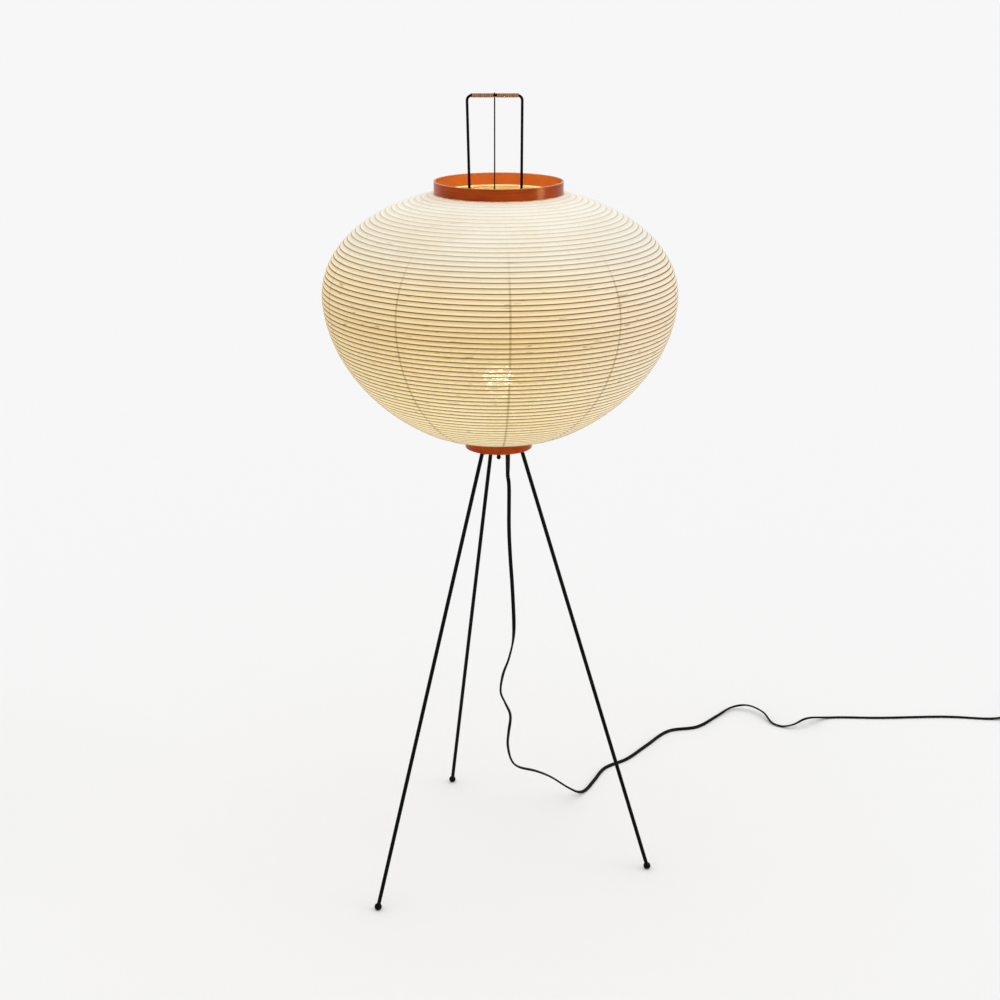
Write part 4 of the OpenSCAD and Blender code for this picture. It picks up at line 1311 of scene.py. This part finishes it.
@dataclass
class CordSet:
    """The flat flex from the hub to the foot switch, and on in a coil to the plug, in mm."""

    width: float = 6.0
    thick: float = 3.5
    section_sides: int = 20
    fall: Tuple[float, float, float] = (0.61, 0.79, 0.0)
    switch_x: float = 1023.0
    switch_y: float = 502.0
    switch_end: float = 49.0
    coil_x: float = 1114.0
    coil_r: float = 36.0
    coil_turns: float = 2.5
    coil_pitch: float = 6.8
    coil_low: float = 2.6
    coil_high: float = 6.9
    plug_x: float = 1084.0
    route: Tuple[Tuple[float, float, float], ...] = (
        (14, 4, 652), (14, 4, 644), (16, 5, 624), (16, 6, 561), (18, 10, 511), (22, 13, 447),
        (24, 15, 378), (17, 17, 336), (7, 21, 304), (3, 28, 271), (10, 35, 248), (19, 43, 221),
        (16, 51, 185), (15, 62, 158), (21, 75, 125), (34, 89, 105), (63, 114, 85), (90, 147, 57),
        (120, 169, 26), (141, 188, 7), (156, 210, 2), (171, 244, 2), (193, 292, 2),
        (235, 328, 2), (274, 382, 2), (321, 445, 2), (378, 464, 2), (421, 512, 3),
        (454, 548, 5), (485, 547, 10), (511, 521, 8), (523, 485, 3), (539, 469, 2),
        (561, 465, 7), (591, 479, 14), (638, 508, 2), (740, 507, 2), (860, 512, 2),
        (940, 503, 2), (974, 502, 5),
    )
    twist: Tuple[Tuple[float, float], ...] = (
        (0, -38), (250, -38), (297, -122), (350, -92), (405, -138), (460, -84), (520, -112),
        (565, -160), (690, -166), (760, -152), (870, -146), (950, -128), (1060, -126),
        (1120, -117), (1170, -96), (1215, -75), (1270, -22), (1335, -36), (1400, -6), (1480, 0),
    )
    clearance: float = 0.05
    tie_slack: float = 0.8
    tie_strip: float = 0.6
    tie_half: float = 4.0
    tie_steps: int = 48
    spring_turns: int = 5
    spring_wire: float = 0.9
    spring_r: float = 6.0
    spring_span: Tuple[float, float] = (2.9, 10.2)

    def section(self, scale: float) -> np.ndarray:
        """The flex's section, in mm times the scale."""
        return twin_flex(self.width * scale, self.thick * scale, self.section_sides)

    def wide_side(self, path: np.ndarray) -> np.ndarray:
        """The way the flex's wide side lies.

        It is level on the floor, and turns with the lead as it hangs.

        Args:
            path: the flex's middle.

        Returns:
            A unit direction for each point.
        """
        heading = headings(path)
        steep = np.abs(heading[:, 2:3])
        up = np.array(self.fall) * steep + np.array([0.0, 0.0, 1.0]) * (1 - steep)
        return unit(np.cross(up, heading))

    def twisted_side(self, path: np.ndarray) -> np.ndarray:
        """The wide side turned by the flex's own twist, which is read off along its run.

        Args:
            path: the flex's middle in mm.

        Returns:
            A unit direction for each point.
        """
        side, heading = self.wide_side(path), headings(path)
        at, degrees = np.array(self.twist, float).T
        turn = np.radians(np.interp(along(path), at, degrees))[:, None]
        return side * np.cos(turn) + np.cross(heading, side) * np.sin(turn)

    def run_path(self) -> np.ndarray:
        """The flex's middle from the bushing to the switch, kept clear of the floor.

        Returns:
            Points in mm.
        """
        path = even_route(smooth_route(np.array(self.route, float), 12), 3.0)
        for _ in range(2):
            wall = Sweep(path, self.twisted_side(path), self.section(1.0)).points()
            below = path[:, None, 2] - wall[..., 2]
            path[:, 2] = np.maximum(path[:, 2], below.max(axis=1) + self.clearance)
        return path

    def coil_path(self) -> np.ndarray:
        """The flex's middle from the switch through the coil to the plug.

        After n turns the radius is r - pitch (turns/2 - |n - turns/2|), and the height goes from
        the lower layer to the upper by a half cosine in the half turn round the middle.

        Returns:
            Points in metres.
        """
        n = np.arange(int(self.coil_turns * 60) + 1) / 60
        half = self.coil_turns / 2
        r = self.coil_r - self.coil_pitch * (half - np.abs(n - half))
        u = np.clip((n - half + 0.25) / 0.5, 0, 1)
        z = self.coil_low + (self.coil_high - self.coil_low) * (1 - np.cos(np.pi * u)) / 2
        a = 2 * np.pi * n
        middle_y = self.switch_y + self.coil_r
        wound = np.stack([self.coil_x + r * np.sin(a), middle_y - r * np.cos(a), z], axis=1)
        end = self.switch_x + self.switch_end
        plug_y = middle_y + self.coil_r
        lead = np.array([
            [end, self.switch_y, 5], [end + self.width, self.switch_y, 5],
            [self.coil_x - 22, self.switch_y, (5 + self.coil_low) / 2],
            [self.coil_x - 10, self.switch_y, self.coil_low + 0.3], wound[0]])
        tail = np.array([
            wound[-1], [self.coil_x - 10, plug_y, self.coil_high + 0.2],
            [self.plug_x + self.width, plug_y, 7], [self.plug_x, plug_y, 7]])
        path = np.vstack([smooth_route(lead, 6)[:-1], wound, smooth_route(tail, 6)[1:]])
        return even_route(path, 2.0) * MM

    def ties(self, material: Material) -> Piece:
        """Two bands round the coil: a rounded rectangle of thin strip, swept across its width.

        Args:
            material: their finish.

        Returns:
            The piece.
        """
        spread = self.coil_pitch * self.coil_turns / 2
        low = self.coil_r - spread - self.width / 2 - self.tie_slack
        high = self.coil_r + self.width / 2 + self.tie_slack
        top = self.coil_high + 2.6
        strip, half = self.tie_strip, self.tie_half
        parts = []
        for turn in (0.0, math.pi):
            rings = []
            for inset, y in ((0.0, -half), (0.0, half), (strip, half), (strip, -half)):
                across, tall = high - low + 2 * strip - 2 * inset, top - 2 * inset
                edge = oval(across, tall, self.tie_steps, 9.0)
                x = (low + high) / 2 + edge[:, 0]
                rings.append(np.stack([
                    self.coil_x + x * math.cos(turn) - y * math.sin(turn),
                    self.switch_y + self.coil_r + x * math.sin(turn) + y * math.cos(turn),
                    top / 2 + edge[:, 1]], axis=1))
            points = np.stack(rings).reshape(-1, 3) * MM
            parts.append((points, grid_quads(len(rings), self.tie_steps, True)))
        points, quads = joined(parts)
        piece = mesh_piece("coil_bands", points, quads, material)
        piece.data.polygons.foreach_set("use_smooth", [False] * len(piece.data.polygons))
        return piece

    def spring(self, material: Material) -> Piece:
        """The button's spring: a helix of round wire.

        Args:
            material: its finish.

        Returns:
            The piece.
        """
        wire = self.spring_wire
        low, high = self.spring_span[0] + wire / 2, self.spring_span[1] - wire / 2
        n = np.arange(self.spring_turns * 24 + 1) / 24
        a = 2 * np.pi * n
        path = np.stack([
            self.switch_x + self.spring_r * np.cos(a), self.switch_y + self.spring_r * np.sin(a),
            low + (high - low) * n / self.spring_turns], axis=1)
        side = path - [self.switch_x, self.switch_y, 0]
        side[:, 2] = 0
        section = oval(wire * MM, wire * MM, 10)
        return Sweep(path * MM, unit(side), section).piece("button_spring", material)

    def build(self, frame: Dict[str, Any], finishes: Wardrobe) -> None:
        """Args:
            frame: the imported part.
            finishes: every finish.
        """
        run_path, coil_path = self.run_path(), self.coil_path()
        side, section = self.twisted_side(run_path), self.section(MM)
        run_path = run_path * MM
        run = Sweep(run_path, side, section).piece("flex_run", finishes.flex)
        coil_side = self.wide_side(coil_path)
        coil = Sweep(coil_path, coil_side, section).piece("flex_coil", finishes.flex)
        bands = self.ties(finishes.tie)
        spring = self.spring(finishes.zinc)
        for piece, node, slot in (
            (run, "cord_run", "flex"), (coil, "cord_coil", "flex"),
            (bands, "coil_ties", "black_plastic"), (spring, "switch_spring", "plated_steel"),
        ):
            stand_in(piece, node)
        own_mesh(spring)
        dress(frame, finishes.plastic, "switch_base", "switch_cover", "plug_body")
        dress(frame, finishes.button, "switch_button")
        dress(frame, finishes.zinc, "switch_screws")
        dress(frame, finishes.brass, "plug_pins")


# --------------------------------------------------------------------- studio


class LampKind(Enum):
    """The kinds of lamp, by Blender's names."""

    SUN = "SUN"
    POINT = "POINT"
    AREA = "AREA"


@dataclass
class Studio:
    """A pale floor, soft light and the photograph's camera."""

    camera_place: Tuple[float, float, float] = (0.002, -2.579, 1.432)
    camera_tilt: float = 17.76
    lens: float = 62.9
    sensor: float = 36.0
    aim: Tuple[float, float, float] = (0.0, 0.0, 0.7)
    sky: float = 0.922
    sun: float = 0.36
    sun_place: Tuple[float, float, float] = (0.85, -0.16, 1.2)
    sun_width: float = 34.0
    bulb: float = 1.6
    bulb_place: Tuple[float, float, float] = (0.0, 0.0, 0.86)
    bulb_radius: float = 0.03
    bulb_colour: Colour = (1.0, 0.76, 0.42)
    window: float = 26.0
    window_place: Tuple[float, float, float] = (1.75, -0.37, 0.86)
    window_size: Tuple[float, float] = (0.42, 0.5)
    window_colour: Colour = (1.0, 0.55, 0.30)
    floor_tone: Colour = (0.947, 0.947, 0.948)
    floor_reach: float = 150.0

    def camera(self) -> None:
        """Sets the camera at the photograph's place, tilted down."""
        data = bpy.data.cameras.new("camera")
        data.lens = self.lens
        data.sensor_width = self.sensor
        data.clip_start, data.clip_end = 0.05, 400.0
        made = bpy.data.objects.new("camera", data)
        made.location = self.camera_place
        made.rotation_euler = (math.radians(90 - self.camera_tilt), 0.0, 0.0)
        bpy.context.scene.collection.objects.link(made)
        bpy.context.scene.camera = made

    def lamp(
        self, name: str, kind: LampKind, place: Sequence[float], energy: float, size: Any
    ) -> Piece:
        """One lamp aimed at the lantern's middle.

        Args:
            name: its name.
            kind: which kind of lamp.
            place: where it stands; only the direction counts for a sun.
            energy: Blender's strength.
            size: a sun's angle in degrees, a point's radius, or an area's width and height.

        Returns:
            The lamp.
        """
        data = bpy.data.lights.new(name, kind.value)
        data.energy = energy
        if kind is LampKind.SUN:
            data.angle = math.radians(size)
        elif kind is LampKind.POINT:
            data.shadow_soft_size = size
        else:
            data.shape = "RECTANGLE"
            data.size, data.size_y = size
        made = bpy.data.objects.new(name, data)
        made.location = place
        aim = np.array(self.aim) - np.array(place)
        aim = aim / np.linalg.norm(aim)
        made.rotation_euler = (math.acos(-aim[2]), 0.0, math.atan2(aim[1], aim[0]) - math.pi / 2)
        bpy.context.scene.collection.objects.link(made)
        return made

    def build(self) -> None:
        """Builds the floor, the sky and the lamps."""
        scene = bpy.context.scene
        scene.view_settings.view_transform = "Standard"
        world = bpy.data.worlds.new("studio")
        world.use_nodes = True
        background = world.node_tree.nodes["Background"]
        background.inputs["Color"].default_value = (1.0, 1.0, 1.0, 1.0)
        background.inputs["Strength"].default_value = self.sky
        scene.world = world
        g = Graph("studio_floor")
        material = g.finish(Base_Color=self.floor_tone, Roughness=1.0, Specular_IOR_Level=0.0)
        square = np.array([[-1, -1, 0], [1, -1, 0], [1, 1, 0], [-1, 1, 0]])
        corners = square * self.floor_reach
        mesh_piece("studio_floor", corners, np.array([[0, 1, 2, 3]]), material)
        self.lamp("key", LampKind.SUN, self.sun_place, self.sun, self.sun_width)
        inner = self.lamp(
            "bulb_light", LampKind.POINT, self.bulb_place, self.bulb, self.bulb_radius)
        inner.data.color = self.bulb_colour
        inner.visible_camera = False
        # a small warm window that only shows as the streak on the varnish
        width, height = self.window_size
        energy = self.window * math.pi * width * height
        window = self.lamp("window", LampKind.AREA, self.window_place, energy, self.window_size)
        window.data.color = self.window_colour
        window.visible_diffuse = False
        window.visible_camera = False
        log.info("studio: floor, sky and lamps")


def main() -> None:
    """Builds the scene in order."""
    logging.basicConfig(level=logging.INFO, format="%(name)s %(message)s", stream=sys.stdout)
    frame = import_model()
    studio = Studio()
    studio.camera()
    finishes = Wardrobe()
    CordSet().build(frame, finishes)
    PaperShade().build(finishes)
    LanternFrame().build(frame, finishes)
    Stand().build(frame, finishes)
    LampHolder().build(frame, finishes)
    studio.build()


if __name__ == "__main__":
    main()
